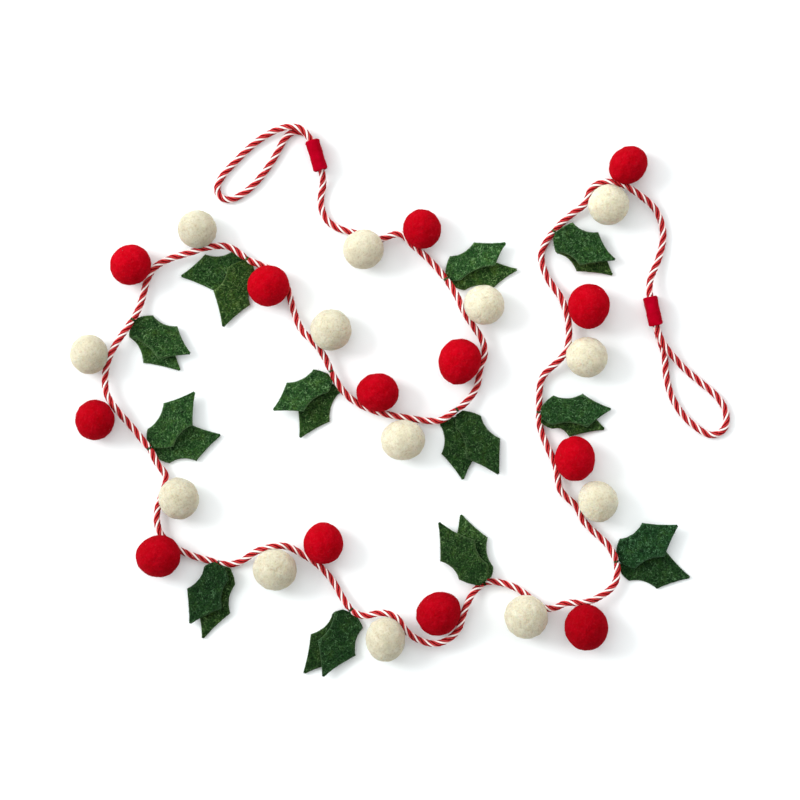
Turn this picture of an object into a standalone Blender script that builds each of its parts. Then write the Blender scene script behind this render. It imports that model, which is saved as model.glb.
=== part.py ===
"""Felt holly garland, laid out on a flat surface at z = 0. Metres, +Z up.

One red and white twisted cord runs the whole length and turns back on itself at each end as a hanging
loop, bound by a sleeve of red felt. Along it are sewn 26 wool felt balls and 12 pairs of green felt
holly leaves. The origin is on the surface, under the middle of the balls, leaves and sleeves.
"""

import bpy
import numpy as np

# Driving dimensions.
CORD_RADIUS = 0.0024
CORD_HOLLOW_RADIUS = 0.002
CORD_TWIST_LENGTH = 0.0192
YARNS = ("red", "red", "white", "red", "red", "white")
CORD_STEPS_A_TWIST = 7
CORD_EASE_STEPS = 7
LEAF_FELT = 0.0015
SLEEVE_FELT = 0.0013
GAP = 0.0004
BALL_FLAT_RADIUS = 0.0035
BALL_COLUMNS = 12
BALL_ROWS = 7
BALL_TOP_ANGLE = 0.12
BALL_UNEVENNESS = 0.012
BALL_WAVES = 3
SLEEVE_HALF_WIDTH = 0.0051
SLEEVE_SQUARENESS = 0.75
SLEEVE_COLUMNS = 16
MILLIMETRE = 0.001

# The garland is laid out on a board with a square grid. Places are in marks of that grid, x to the
# right and y towards the near edge, counted from its far left corner.
MARK = 0.00071
BOARD_MIDDLE = (380.4, 407.5)

# The cord's middle line, first end to last: marks, marks, and millimetres above the surface.
CORD_ROUTE = (
    # the first end lies in its sleeve, under the run that goes on
    (318.2, 162.0, 4.5), (312.3, 143.0, 4.5), (307.0, 134.5, 4.1), (299.0, 130.6, 3.2),
    (290.0, 132.6, 2.8), (284.0, 139.5, 2.8), (275.5, 155.2, 2.8), (262.8, 174.0, 2.8),
    (248.5, 189.4, 2.8), (239.2, 195.8, 2.8), (229.0, 200.0, 2.8), (219.6, 196.8, 2.8),
    (216.5, 188.0, 2.8), (220.6, 178.2, 2.8), (234.4, 162.4, 2.8), (249.8, 147.0, 2.9),
    (266.4, 134.9, 3.8), (280.0, 128.4, 6.0), (292.0, 126.4, 8.4), (302.3, 129.3, 9.7),
    (309.0, 137.2, 10.1), (312.9, 145.5, 10.1), (320.2, 167.5, 10.1), (323.0, 177.0, 6.9),
    # down to the first balls and leaves
    (323.0, 186.0, 4.1), (320.5, 199.0, 3.0), (324.0, 216.0, 3.0), (336.0, 227.5, 3.0),
    (350.0, 231.5, 3.2), (364.0, 235.5, 3.4), (379.5, 240.0, 4.4), (391.0, 235.2, 6.6),
    (401.2, 233.6, 7.7), (410.5, 243.0, 7.5), (426.0, 256.5, 5.2), (446.0, 279.0, 7.0),
    (459.0, 300.0, 11.2), (463.5, 311.0, 12.9), (473.0, 325.5, 10.3), (483.0, 342.0, 7.7),
    (485.0, 354.0, 7.7), (480.0, 368.0, 8.2), (477.5, 385.5, 4.7), (465.0, 403.5, 7.3),
    (451.8, 413.2, 7.4), (441.5, 420.4, 7.0), (427.0, 420.8, 5.2), (405.2, 417.6, 7.7),
    (388.0, 414.5, 6.9), (368.0, 408.5, 6.0), (348.0, 396.5, 5.2), (335.0, 379.0, 7.0),
    (323.5, 355.0, 8.6), (314.0, 342.0, 12.0), (303.0, 332.0, 8.6), (293.0, 309.0, 3.9),
    (287.5, 289.0, 3.8), (281.5, 276.0, 4.0), (266.0, 267.5, 5.2),
    # the top left corner and down the left side
    (249.3, 260.4, 7.1), (228.3, 246.6, 7.7), (208.7, 247.1, 11.6), (189.8, 252.9, 9.9),
    (168.0, 259.5, 6.9), (155.5, 266.4, 7.7), (148.5, 276.5, 8.2), (142.4, 297.7, 4.7),
    (138.0, 310.5, 6.0), (128.4, 326.0, 7.2), (114.8, 346.2, 10.3), (109.5, 357.0, 12.0),
    (104.9, 378.0, 7.7), (107.0, 395.0, 9.5), (115.0, 407.5, 11.2), (132.0, 427.2, 6.0),
    (142.6, 440.2, 6.7), (150.6, 450.2, 7.0), (157.0, 463.5, 5.6), (166.5, 477.0, 3.9),
    (163.0, 491.0, 3.8), (157.0, 511.0, 6.0), (158.5, 530.0, 6.0), (168.0, 543.0, 4.0),
    (186.0, 553.5, 3.8), (214.0, 562.0, 2.9), (227.0, 565.0, 3.1), (238.5, 562.8, 3.9),
    (256.0, 551.5, 8.6),
    # along the near side
    (270.0, 547.0, 12.0), (286.0, 546.0, 9.5), (301.0, 553.5, 7.3), (315.5, 562.5, 7.3),
    (332.0, 580.0, 4.3), (345.7, 603.0, 7.0), (351.5, 610.5, 7.3), (361.0, 615.8, 7.7),
    (383.0, 612.5, 11.2), (397.1, 617.4, 12.5), (404.8, 629.4, 11.6), (419.5, 640.3, 8.6),
    (438.0, 643.5, 10.3), (457.0, 631.5, 12.0), (465.0, 609.0, 9.5), (475.5, 590.0, 4.8),
    (481.5, 585.0, 3.4), (489.0, 581.4, 3.1), (499.0, 582.5, 3.6), (512.4, 586.2, 5.2),
    (526.0, 594.5, 5.2), (540.3, 606.4, 5.6), (552.2, 609.0, 7.7), (566.0, 602.5, 11.2),
    (583.0, 603.0, 12.5), (600.8, 596.1, 8.6), (614.8, 584.5, 6.0),
    # up the right side
    (617.6, 568.0, 7.0), (614.6, 556.0, 6.8), (608.6, 546.0, 6.5), (590.5, 528.6, 6.0),
    (581.9, 518.6, 5.0), (577.6, 507.2, 5.0), (567.2, 498.0, 6.0), (559.4, 488.6, 6.2),
    (558.0, 478.0, 5.6), (556.6, 467.5, 5.2), (548.7, 449.3, 4.3), (540.0, 426.0, 3.0),
    (539.4, 404.0, 2.9), (543.0, 376.2, 4.3), (558.0, 361.5, 8.2), (566.2, 351.9, 9.5),
    (569.1, 335.0, 8.2), (568.0, 318.0, 8.6), (562.0, 299.5, 6.9), (546.5, 275.5, 3.4),
    (541.2, 254.0, 3.0), (552.5, 233.0, 2.9), (573.6, 212.7, 4.7), (586.7, 202.2, 7.7),
    (590.0, 190.0, 9.5), (602.0, 182.5, 11.2), (619.0, 183.5, 12.9), (640.0, 195.5, 8.2),
    (655.2, 208.6, 4.3), (663.5, 231.0, 3.1), (658.5, 260.0, 4.3), (650.0, 281.0, 7.7),
    (649.3, 291.0, 9.6),
    # through the last sleeve, round its loop and back under the run that came in
    (650.5, 301.0, 10.1), (655.6, 323.0, 10.1), (658.5, 334.0, 9.7), (664.2, 345.2, 8.3),
    (673.7, 356.8, 5.3), (686.4, 370.2, 3.0), (703.1, 384.2, 2.8), (718.1, 397.4, 2.8),
    (726.5, 412.0, 2.8), (724.8, 429.4, 2.8), (712.2, 435.6, 2.8), (697.2, 427.8, 2.8),
    (681.1, 412.2, 2.8), (670.2, 391.7, 2.8), (666.0, 371.0, 2.8), (665.0, 353.9, 2.9),
    (659.8, 340.0, 3.4), (656.4, 326.5, 4.5), (652.0, 307.0, 4.5),
)

# Balls: marks, half of the long and short width in millimetres, turn of the long width in degrees
# from x towards the far edge, and how much the ball narrows along it, as an egg does.
BALL_COLUMNS_OF_TABLE = ("x", "y", "long", "short", "turn", "narrowing")
RED_BALLS = (
    (422.0, 229.3, 14.1, 13.5, 90, 0.00),
    (459.5, 361.8, 16.5, 14.9, 75, -0.07),
    (377.5, 392.5, 14.9, 13.8, 0, -0.05),
    (268.5, 286.0, 14.9, 14.6, 0, 0.00),
    (131.0, 265.0, 14.8, 14.2, 45, 0.00),
    (95.3, 420.0, 14.2, 14.1, 90, 0.00),
    (158.5, 556.0, 15.8, 14.9, 0, -0.05),
    (323.5, 543.0, 14.9, 13.9, 90, 0.04),
    (439.0, 613.0, 16.2, 15.2, 45, 0.06),
    (586.0, 627.0, 16.3, 15.6, 90, 0.00),
    (574.7, 458.5, 16.2, 14.1, 90, 0.00),
    (588.5, 306.5, 15.9, 14.9, 90, -0.05),
    (628.0, 165.5, 14.5, 12.8, 40, 0.00),
)
CREAM_BALLS = (
    (363.5, 249.5, 14.6, 13.8, 0, 0.00),
    (484.0, 305.0, 14.3, 14.1, 0, 0.00),
    (403.0, 440.0, 15.5, 14.4, 0, 0.00),
    (331.0, 330.0, 14.7, 14.5, 0, 0.00),
    (197.5, 229.5, 13.8, 13.5, 0, 0.00),
    (89.5, 354.5, 13.8, 13.6, 90, 0.00),
    (179.0, 498.5, 14.9, 14.2, 100, 0.00),
    (275.0, 569.5, 15.6, 14.6, 0, 0.00),
    (385.5, 639.0, 15.6, 14.2, 90, 0.00),
    (526.0, 616.5, 15.6, 15.3, 90, 0.00),
    (597.5, 501.0, 14.9, 13.8, -50, -0.06),
    (586.5, 357.3, 14.7, 14.4, 0, 0.00),
    (608.5, 205.0, 14.6, 14.3, 0, 0.00),
)

# Leaves: where the base and the tip lie in marks, height of base, middle and tip in millimetres, lift
# of the left side in degrees seen from base to tip, and hollow across the middle in millimetres.
LEAF_COLUMNS_OF_TABLE = (
    "base_x", "base_y", "tip_x", "tip_y", "base_up", "middle_up", "tip_up", "lift", "hollow"
)
# Each pair is the lower leaf, then the upper one.
LEAF_PAIRS = (
    ((451.5, 281.0, 517.0, 269.5, 1.0, 1.1, 2.4, 0, 0.2),
     (447.0, 276.5, 505.5, 243.0, 3.1, 6.2, 8.0, -11, 0.7)),
    ((245.0, 261.0, 181.0, 276.0, 1.0, 1.1, 2.1, 0, 0.2),
     (248.0, 261.5, 223.0, 326.5, 3.4, 3.7, 2.9, -9, 0.4)),
    ((132.5, 327.0, 179.5, 370.0, 1.0, 1.1, 1.7, 0, 0.2),
     (132.5, 324.0, 190.0, 353.5, 3.1, 5.8, 7.2, -8, 0.7)),
    ((152.0, 452.0, 220.0, 435.0, 1.1, 2.0, 2.6, 0, 1.6),
     (149.8, 445.5, 194.5, 392.0, 3.1, 6.4, 8.0, -12, 0.7)),
    ((224.0, 566.0, 202.5, 638.5, 8.1, 3.8, 1.7, 0, 0.2),
     (219.0, 564.0, 190.0, 623.5, 10.5, 7.5, 5.7, 10, 0.5)),
    ((341.0, 613.5, 304.0, 673.5, 1.0, 1.2, 2.4, 0, 0.2),
     (349.0, 612.0, 323.0, 676.5, 3.1, 5.2, 6.0, -5, 0.7)),
    ((487.0, 579.0, 461.0, 515.0, 8.1, 3.8, 1.9, 0, 0.2),
     (483.0, 583.0, 439.0, 522.5, 10.5, 7.6, 6.4, -8, 0.5)),
    ((620.0, 566.0, 690.0, 577.5, 1.0, 1.1, 2.1, 0, 0.2),
     (618.0, 559.0, 677.5, 525.5, 3.1, 6.4, 8.6, -9, 0.7)),
    ((541.5, 418.0, 604.5, 429.0, 8.1, 3.8, 1.7, 0, 0.2),
     (541.0, 412.5, 611.0, 409.0, 10.5, 6.6, 4.1, 1, 0.3)),
    ((556.0, 242.0, 612.5, 274.5, 8.1, 3.8, 1.7, 0, 0.2),
     (554.0, 236.0, 615.0, 259.5, 10.9, 7.9, 7.7, -8, 0.5)),
    ((449.0, 418.0, 463.0, 479.5, 1.0, 1.1, 2.4, 0, 0.2),
     (459.5, 412.5, 498.5, 474.0, 3.1, 4.7, 5.4, -6, 0.7)),
    ((336.5, 386.5, 300.0, 437.5, 1.0, 1.3, 2.6, 0, 0.2),
     (330.5, 377.5, 273.5, 410.0, 3.1, 8.6, 11.0, 16, 0.7)),
)

# How each leaf is cut: half width of the base, and on each side a shoulder and a point, as a share of
# the length and a distance from the middle line. Widths in millimetres.
LEAF_CUT_COLUMNS = (
    "base_out", "left_shoulder", "left_shoulder_out", "left_point", "left_point_out",
    "right_shoulder", "right_shoulder_out", "right_point", "right_point_out",
    "left_tip_bow", "right_tip_bow",
)
LEAF_CUTS = (
    ((3.0, 0.16, 10.7, 0.59, 11.6, 0.18, 8.0, 0.61, 9.7, -0.8, -0.8),
     (2.7, 0.19, 11.6, 0.60, 11.7, 0.17, 7.1, 0.70, 10.2, -0.8, -0.8)),
    ((4.0, 0.28, 15.9, 0.52, 17.2, 0.16, 9.0, 0.57, 11.3, -0.8, -0.8),
     (3.2, 0.17, 7.8, 0.57, 12.3, 0.20, 12.3, 0.57, 15.6, -0.8, -0.8)),
    ((3.5, 0.21, 9.0, 0.61, 11.5, 0.09, 7.0, 0.50, 13.8, -0.8, -0.8),
     (4.6, 0.22, 12.0, 0.63, 13.2, 0.09, 9.3, 0.59, 13.9, -1.4, -0.5)),
    ((3.0, 0.27, 12.1, 0.60, 13.3, 0.20, 10.8, 0.58, 13.9, -0.8, -0.8),
     (2.8, 0.16, 8.8, 0.59, 11.9, 0.21, 13.4, 0.62, 14.2, -0.8, -0.8)),
    ((4.5, 0.20, 11.3, 0.58, 13.8, 0.17, 9.4, 0.68, 8.5, -0.8, -0.8),
     (3.4, 0.15, 11.2, 0.58, 15.6, 0.14, 8.6, 0.55, 12.9, -0.8, -0.5)),
    ((3.2, 0.19, 8.1, 0.68, 13.5, 0.11, 4.6, 0.48, 10.6, -0.8, -0.8),
     (4.6, 0.14, 13.5, 0.55, 16.0, 0.10, 9.5, 0.55, 13.0, -1.1, -0.8)),
    ((3.0, 0.17, 7.2, 0.61, 13.5, 0.14, 7.3, 0.55, 11.6, -0.8, -0.8),
     (3.2, 0.23, 12.3, 0.57, 15.5, 0.17, 10.8, 0.53, 13.4, -0.7, -1.8)),
    ((3.0, 0.17, 10.1, 0.62, 15.2, 0.17, 9.5, 0.57, 11.9, -0.8, -0.8),
     (3.0, 0.17, 11.7, 0.57, 13.9, 0.16, 12.1, 0.61, 14.9, -0.8, -0.8)),
    ((3.2, 0.16, 7.8, 0.71, 12.9, 0.22, 6.1, 0.48, 9.9, -0.8, -0.8),
     (3.6, 0.19, 11.6, 0.61, 12.0, 0.16, 9.5, 0.65, 12.4, -1.2, -0.8)),
    ((2.8, 0.20, 9.0, 0.71, 12.4, 0.11, 6.6, 0.50, 10.7, -0.8, -0.8),
     (2.7, 0.19, 13.8, 0.61, 14.0, 0.13, 10.2, 0.53, 12.9, -2.1, -0.5)),
    ((5.0, 0.18, 8.0, 0.66, 13.6, 0.10, 7.1, 0.53, 10.9, -0.8, -0.8),
     (2.8, 0.20, 11.6, 0.60, 14.6, 0.16, 7.7, 0.58, 13.7, -0.2, -0.8)),
    ((3.0, 0.07, 4.3, 0.52, 10.6, 0.28, 11.5, 0.61, 14.7, -0.8, -0.8),
     (2.8, 0.16, 8.4, 0.61, 11.6, 0.17, 11.1, 0.62, 12.3, -0.5, -1.1)),
)
LEAF_TIP_OUT = 0.8
# How far the edge bows outwards from base to shoulder and from shoulder to point, in millimetres.
LEAF_BOWS = (0.9, -2.6)
# Where the sheet's rows lie: 0 at the base, 1 at the shoulders, 2 at the points and 3 at the tip.
LEAF_ROWS = (0.0, 0.5, 1.0, 1.3, 1.65, 2.0, 2.5, 3.0)
LEAF_USUAL_OUT = 0.0136

# Sleeves: marks of the two ends of the middle line.
SLEEVES = {
    "sleeve_first": ((311.9, 140.2), (320.9, 170.3)),
    "sleeve_last": ((649.9, 296.7), (656.1, 325.5)),
}
# Share of the length, share of the width.
SLEEVE_WAIST = ((0.0, 1.0), (0.33, 0.97), (0.67, 0.97), (1.0, 1.0))
SLEEVE_BOTTOM = 0.0001
SLEEVE_TOP = 0.0155
# How far the rims stand back along the cord at the two sides, where the strip curls round.
SLEEVE_RIM_BACK = 0.0014

FINISHES = {
    "red_felt": ((0.55, 0.006, 0.018, 1.0), 0.95),
    "cream_felt": ((0.80, 0.74, 0.60, 1.0), 0.95),
    "green_felt": ((0.020, 0.085, 0.022, 1.0), 0.95),
    "red_yarn": ((0.58, 0.010, 0.020, 1.0), 0.80),
    "white_yarn": ((0.85, 0.83, 0.78, 1.0), 0.80),
}


def clear_scene():
    """Removes what the scene held before."""
    for thing in list(bpy.data.objects):
        bpy.data.objects.remove(thing, do_unlink=True)


def finish(name):
    """The material of that name, made the first time it is asked for."""
    material = bpy.data.materials.get(name)
    if material is None:
        colour, roughness = FINISHES[name]
        material = bpy.data.materials.new(name)
        material.use_nodes = True
        shader = material.node_tree.nodes["Principled BSDF"]
        shader.inputs["Base Color"].default_value = colour
        shader.inputs["Roughness"].default_value = roughness
        shader.inputs["Metallic"].default_value = 0.0
        material.diffuse_color = colour
    return material


def on_board(x, y):
    """Metres of a place in marks."""
    across = (np.asarray(x, float) - BOARD_MIDDLE[0]) * MARK
    away = (BOARD_MIDDLE[1] - np.asarray(y, float)) * MARK
    return across, away


def smooth_curve(points, samples=16):
    """Cubic curve through the points: at each one it runs along the mean of the two spans that meet
    there, the shorter span counting for more."""
    spans = np.diff(points, axis=0)
    lengths = np.linalg.norm(spans, axis=1)[:, None]
    slopes = spans / lengths
    inner = (slopes[:-1] * lengths[1:] + slopes[1:] * lengths[:-1]) / (lengths[:-1] + lengths[1:])
    tangents = np.vstack([slopes[:1], inner, slopes[-1:]])
    t = (np.arange(samples) / samples)[None, :, None]
    start = points[:-1, None] * (2 * t**3 - 3 * t**2 + 1) + points[1:, None] * (3 * t**2 - 2 * t**3)
    lean = tangents[:-1, None] * (t**3 - 2 * t**2 + t) + tangents[1:, None] * (t**3 - t**2)
    curve = (start + lean * lengths[:, None]).reshape(-1, 3)
    return np.vstack([curve, points[-1:]])


def even_steps(curve, step):
    """The curve at equal distances along it, as near to the step as its length allows."""
    along = np.concatenate([[0.0], np.cumsum(np.linalg.norm(np.diff(curve, axis=0), axis=1))])
    count = int(round(along[-1] / step))
    wanted = np.linspace(0.0, along[-1], count + 1)
    return np.column_stack([np.interp(wanted, along, curve[:, axis]) for axis in range(3)])


def eased(curve, reach):
    """Equal steps of a curve, each moved to the mean of its neighbours within the reach, the near ones
    counting for more. The ends stay where they are."""
    weight = np.hanning(2 * reach + 1)
    weight = weight / weight.sum()
    before = 2 * curve[:1] - curve[reach:0:-1]
    after = 2 * curve[-1:] - curve[-2:-reach - 2:-1]
    longer = np.vstack([before, curve, after])
    return np.column_stack([np.convolve(longer[:, axis], weight, "valid") for axis in range(3)])


def cord_middle_line(step):
    """The cord's middle line in metres, at equal steps."""
    table = np.array(CORD_ROUTE)
    across, away = on_board(table[:, 0], table[:, 1])
    points = np.column_stack([across, away, table[:, 2] * MILLIMETRE])
    fine = even_steps(smooth_curve(points), MILLIMETRE)
    return even_steps(eased(fine, CORD_EASE_STEPS), step)


def skin(rings, ends):
    """Points and triangles of a skin over rings of equal count, each ring counter-clockwise seen from
    ahead. ends is "capped", or "joined" where the last ring meets the first."""
    rows, columns = rings.shape[:2]
    index = np.arange(rows * columns).reshape(rows, columns)
    if ends == "joined":
        index = np.vstack([index, index[:1]])
    near, far = index[:-1], index[1:]
    near_next, far_next = np.roll(near, -1, axis=1), np.roll(far, -1, axis=1)
    halves = np.stack([np.stack([near, near_next, far], -1), np.stack([near_next, far_next, far], -1)], 2)
    faces = halves.reshape(-1, 3).tolist()
    if ends == "capped":
        faces.append(index[0, ::-1].tolist())
        faces.append(index[-1].tolist())
    return rings.reshape(-1, 3), faces


def add_piece(name, points, faces, finishes, slots=None):
    """A named object with that mesh. slots gives each face's finish, as a place in the list."""
    mesh = bpy.data.meshes.new(name)
    mesh.from_pydata([tuple(point) for point in points], [], faces)
    for finish_name in finishes:
        mesh.materials.append(finish(finish_name))
    if slots is not None:
        mesh.polygons.foreach_set("material_index", slots)
    mesh.update()
    piece = bpy.data.objects.new(name, mesh)
    bpy.context.scene.collection.objects.link(piece)
    return piece


def add_cord(line):
    """The cord: a section with three crests and three hollows, carried along the middle line and turned
    once in each twist length, as a right-handed screw."""
    tangents = np.gradient(line, axis=0)
    tangents /= np.linalg.norm(tangents, axis=1)[:, None]
    side = np.cross(tangents, (0.0, 0.0, 1.0))
    side /= np.linalg.norm(side, axis=1)[:, None]
    up = np.cross(side, tangents)
    twist = np.arange(len(line)) * (2 * np.pi / CORD_STEPS_A_TWIST)
    corner = np.arange(len(YARNS)) * (2 * np.pi / len(YARNS))
    angle = -(twist[:, None] + corner[None, :])
    ring = np.cos(angle)[..., None] * side[:, None] + np.sin(angle)[..., None] * up[:, None]
    radius = np.where(np.arange(len(YARNS)) % 2 == 0, CORD_RADIUS, CORD_HOLLOW_RADIUS)
    rings = line[:, None] + radius[None, :, None] * ring
    points, faces = skin(rings, "capped")
    column = np.repeat(np.arange(len(YARNS)), 2)
    by_face = np.tile(column, len(line) - 1)
    white = np.array([yarn == "white" for yarn in YARNS], dtype=int)
    slots = np.concatenate([white[by_face], [0, 0]]).astype(np.int32)
    return add_piece("cord", points, faces, ("red_yarn", "white_yarn"), slots)


def drawn_in_by_cord(points, middle, line):
    """The points of a ball, pressed in where the cord is sewn against it: none stays past a plane that
    faces the cord and clears it by the gap."""
    toward = line - middle
    distance = np.linalg.norm(toward, axis=1)
    reach = np.linalg.norm(points - middle, axis=1).max() + CORD_RADIUS + GAP
    for direction, away in zip(toward[distance < reach], distance[distance < reach]):
        direction = direction / away
        depth = (points - middle) @ direction - (away - CORD_RADIUS - GAP)
        points = points - np.maximum(depth, 0.0)[:, None] * direction
    return points


def add_ball(name, row, seed, felt, line):
    """A felted ball: an oval, slightly uneven round with a small flat spot underneath, drawn in where
    the cord passes."""
    ball = dict(zip(BALL_COLUMNS_OF_TABLE, row))
    across, away = on_board(ball["x"], ball["y"])
    long, short = ball["long"] * MILLIMETRE, ball["short"] * MILLIMETRE
    height = (long + short) / 2
    centre_up = np.sqrt(height**2 - BALL_FLAT_RADIUS**2)
    middle = np.array([across, away, centre_up])
    first = np.arcsin(BALL_FLAT_RADIUS / height)
    polar = np.linspace(first, np.pi - BALL_TOP_ANGLE, BALL_ROWS)[:, None]
    round_about = np.linspace(0.0, 2 * np.pi, BALL_COLUMNS, endpoint=False)[None, :]
    lumps = np.sin(BALL_WAVES * round_about + seed) * np.sin(2 * polar) + np.cos(2 * round_about - 2 * seed)
    swell = 1 + BALL_UNEVENNESS * lumps * np.sin(polar) ** 2
    along_long = np.cos(round_about) * np.sin(polar) * swell
    along_short = np.sin(round_about) * np.sin(polar) * swell * (1 + ball["narrowing"] * -along_long)
    turn = np.radians(ball["turn"])
    x = long * along_long * np.cos(turn) - short * along_short * np.sin(turn)
    y = long * along_long * np.sin(turn) + short * along_short * np.cos(turn)
    z = -height * np.cos(polar) + 0 * x
    rings = np.stack([x, y, z], -1) + middle
    points, faces = skin(rings, "capped")
    points = drawn_in_by_cord(points, middle, line)
    piece = add_piece(name, points, faces, (felt,))
    piece.data.shade_smooth()
    return piece


def leaf_edge(cut, side, rows):
    """One edge of a leaf at those rows: shares of the length, and distances from the middle line in
    metres. It runs from corner to corner and bows between them."""
    along = np.array([0.0, cut[side + "_shoulder"], cut[side + "_point"], 1.0])
    out = np.array([cut["base_out"], cut[side + "_shoulder_out"], cut[side + "_point_out"], LEAF_TIP_OUT])
    span = np.minimum(rows.astype(int), 2)
    share = rows - span
    bows = np.array([*LEAF_BOWS, cut[side + "_tip_bow"]])
    bow = bows[span] * 4 * share * (1 - share)
    edge_along = along[span] + share * (along[span + 1] - along[span])
    edge_out = out[span] + share * (out[span + 1] - out[span]) + bow
    return edge_along, edge_out * MILLIMETRE


def add_leaf(name, row, cut_row):
    """A holly leaf of felt sheet: its own outline, bent lengthwise through its three heights, leaning
    to one side and hollow across."""
    leaf = dict(zip(LEAF_COLUMNS_OF_TABLE, row))
    cut = dict(zip(LEAF_CUT_COLUMNS, cut_row))
    base = np.array(on_board(leaf["base_x"], leaf["base_y"]))
    tip = np.array(on_board(leaf["tip_x"], leaf["tip_y"]))
    left_along, left_out = leaf_edge(cut, "left", np.array(LEAF_ROWS))
    right_along, right_out = leaf_edge(cut, "right", np.array(LEAF_ROWS))
    along = np.stack([right_along, (left_along + right_along) / 2, left_along], -1)
    out = np.stack([-right_out, (left_out - right_out) / 2, left_out], -1)
    heights = np.array([leaf["base_up"], leaf["middle_up"], leaf["tip_up"]]) * MILLIMETRE
    bend = np.polyfit([0.0, 0.5, 1.0], heights, 2)
    left = np.array([-(tip - base)[1], (tip - base)[0]]) / np.linalg.norm(tip - base)
    plan = base + along[..., None] * (tip - base) + out[..., None] * left
    across = np.array([-1.0, 0.0, 1.0])[None, :]
    width = (left_out + right_out)[:, None] / (2 * LEAF_USUAL_OUT)
    up = np.polyval(bend, along) + out * np.tan(np.radians(leaf["lift"]))
    up = up + leaf["hollow"] * MILLIMETRE * (across**2 - 0.5) * width
    sheet = np.concatenate([plan, up[..., None]], -1)
    bottom, top = sheet.copy(), sheet.copy()
    bottom[..., 2] -= LEAF_FELT / 2
    top[..., 2] += LEAF_FELT / 2
    rows, columns = sheet.shape[:2]
    index = np.arange(rows * columns).reshape(rows, columns)
    a, b, c, d = index[:-1, :-1], index[1:, :-1], index[1:, 1:], index[:-1, 1:]
    upper = np.stack([a, b, c, d], -1).reshape(-1, 4)
    rim = np.concatenate([index[0], index[1:, -1], index[-1, -2::-1], index[-2:0:-1, 0]])
    under = rows * columns
    ahead = np.roll(rim, -1)
    wall = np.stack([ahead, rim, rim + under, ahead + under], -1)
    faces = [face[::-1] for face in upper.tolist()] + (upper + under).tolist() + wall.tolist()
    points = np.concatenate([bottom.reshape(-1, 3), top.reshape(-1, 3)])
    return add_piece(name, points, faces, ("green_felt",))


def add_sleeve(name, ends):
    """A sleeve: an upright oval tube of felt, open at both ends, round the two runs of cord."""
    first, last = (np.array([*on_board(x, y), 0.0]) for x, y in ends)
    forward = (last - first) / np.linalg.norm(last - first)
    side = np.array([-forward[1], forward[0], 0.0])
    middle_up = (SLEEVE_TOP + SLEEVE_BOTTOM) / 2
    outer_up = (SLEEVE_TOP - SLEEVE_BOTTOM) / 2
    angle = np.linspace(0.0, 2 * np.pi, SLEEVE_COLUMNS, endpoint=False)
    cosine = np.sign(np.cos(angle)) * np.abs(np.cos(angle)) ** SLEEVE_SQUARENESS
    sine = np.sign(np.sin(angle)) * np.abs(np.sin(angle)) ** SLEEVE_SQUARENESS

    def ring(place, swell, wall):
        across = (SLEEVE_HALF_WIDTH * swell - wall) * cosine
        up = (outer_up - wall) * sine + middle_up
        back = SLEEVE_RIM_BACK * (1 - 2 * place) * np.abs(np.cos(angle)) ** 6
        centre = first + (last - first) * place + back[:, None] * forward
        return centre + across[:, None] * side + up[:, None] * np.array([0.0, 0.0, 1.0])

    outside = [ring(place, swell, 0.0) for place, swell in SLEEVE_WAIST]
    inside = [ring(place, swell, SLEEVE_FELT) for place, swell in SLEEVE_WAIST]
    rings = np.array(outside + inside[::-1])
    points, faces = skin(rings, "joined")
    return add_piece(name, points, faces, ("red_felt",))


def build():
    clear_scene()
    line = cord_middle_line(CORD_TWIST_LENGTH / CORD_STEPS_A_TWIST)
    add_cord(line)
    for name, ends in SLEEVES.items():
        add_sleeve(name, ends)
    for number, row in enumerate(RED_BALLS, start=1):
        add_ball(f"ball_red_{number:02d}", row, number, "red_felt", line)
    for number, row in enumerate(CREAM_BALLS, start=1):
        add_ball(f"ball_cream_{number:02d}", row, number + 0.5, "cream_felt", line)
    for number, (pair, cuts) in enumerate(zip(LEAF_PAIRS, LEAF_CUTS), start=1):
        add_leaf(f"leaf_{number:02d}_lower", pair[0], cuts[0])
        add_leaf(f"leaf_{number:02d}_upper", pair[1], cuts[1])


build()
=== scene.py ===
"""Felt holly garland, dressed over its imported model. Metres, +Z up, lying on a surface at z = 0.

A red and white cord of six twisted yarns, 26 wool felt balls, 12 pairs of green felt holly leaves and
the two red felt sleeves that bind the hanging loops.
"""

import bpy
import numpy as np
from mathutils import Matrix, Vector


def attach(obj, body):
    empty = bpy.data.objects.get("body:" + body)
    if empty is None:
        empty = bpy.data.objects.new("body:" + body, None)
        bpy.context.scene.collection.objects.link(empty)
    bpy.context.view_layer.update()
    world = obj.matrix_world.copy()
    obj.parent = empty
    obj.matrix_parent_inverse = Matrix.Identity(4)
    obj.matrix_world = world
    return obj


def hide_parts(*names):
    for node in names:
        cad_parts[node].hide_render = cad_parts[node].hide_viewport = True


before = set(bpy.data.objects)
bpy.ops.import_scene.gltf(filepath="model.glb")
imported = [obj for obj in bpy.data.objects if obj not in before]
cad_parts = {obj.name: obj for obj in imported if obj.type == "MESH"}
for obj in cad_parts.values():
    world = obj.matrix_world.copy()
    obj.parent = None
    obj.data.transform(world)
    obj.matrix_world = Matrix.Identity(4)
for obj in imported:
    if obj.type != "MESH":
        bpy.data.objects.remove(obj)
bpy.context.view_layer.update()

# Sizes of the garland.
CORD_RADIUS = 0.0024
CORD_TWIST_LENGTH = 0.0192
YARNS = ("red", "red", "white", "red", "red", "white")
CORD_EASE_STEPS = 7
LEAF_FELT = 0.0015
SLEEVE_FELT = 0.0013
BALL_FLAT_RADIUS = 0.0035
BALL_UNEVENNESS = 0.012
BALL_WAVES = 3
SLEEVE_HALF_WIDTH = 0.0051
SLEEVE_SQUARENESS = 0.75
MILLIMETRE = 0.001

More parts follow.
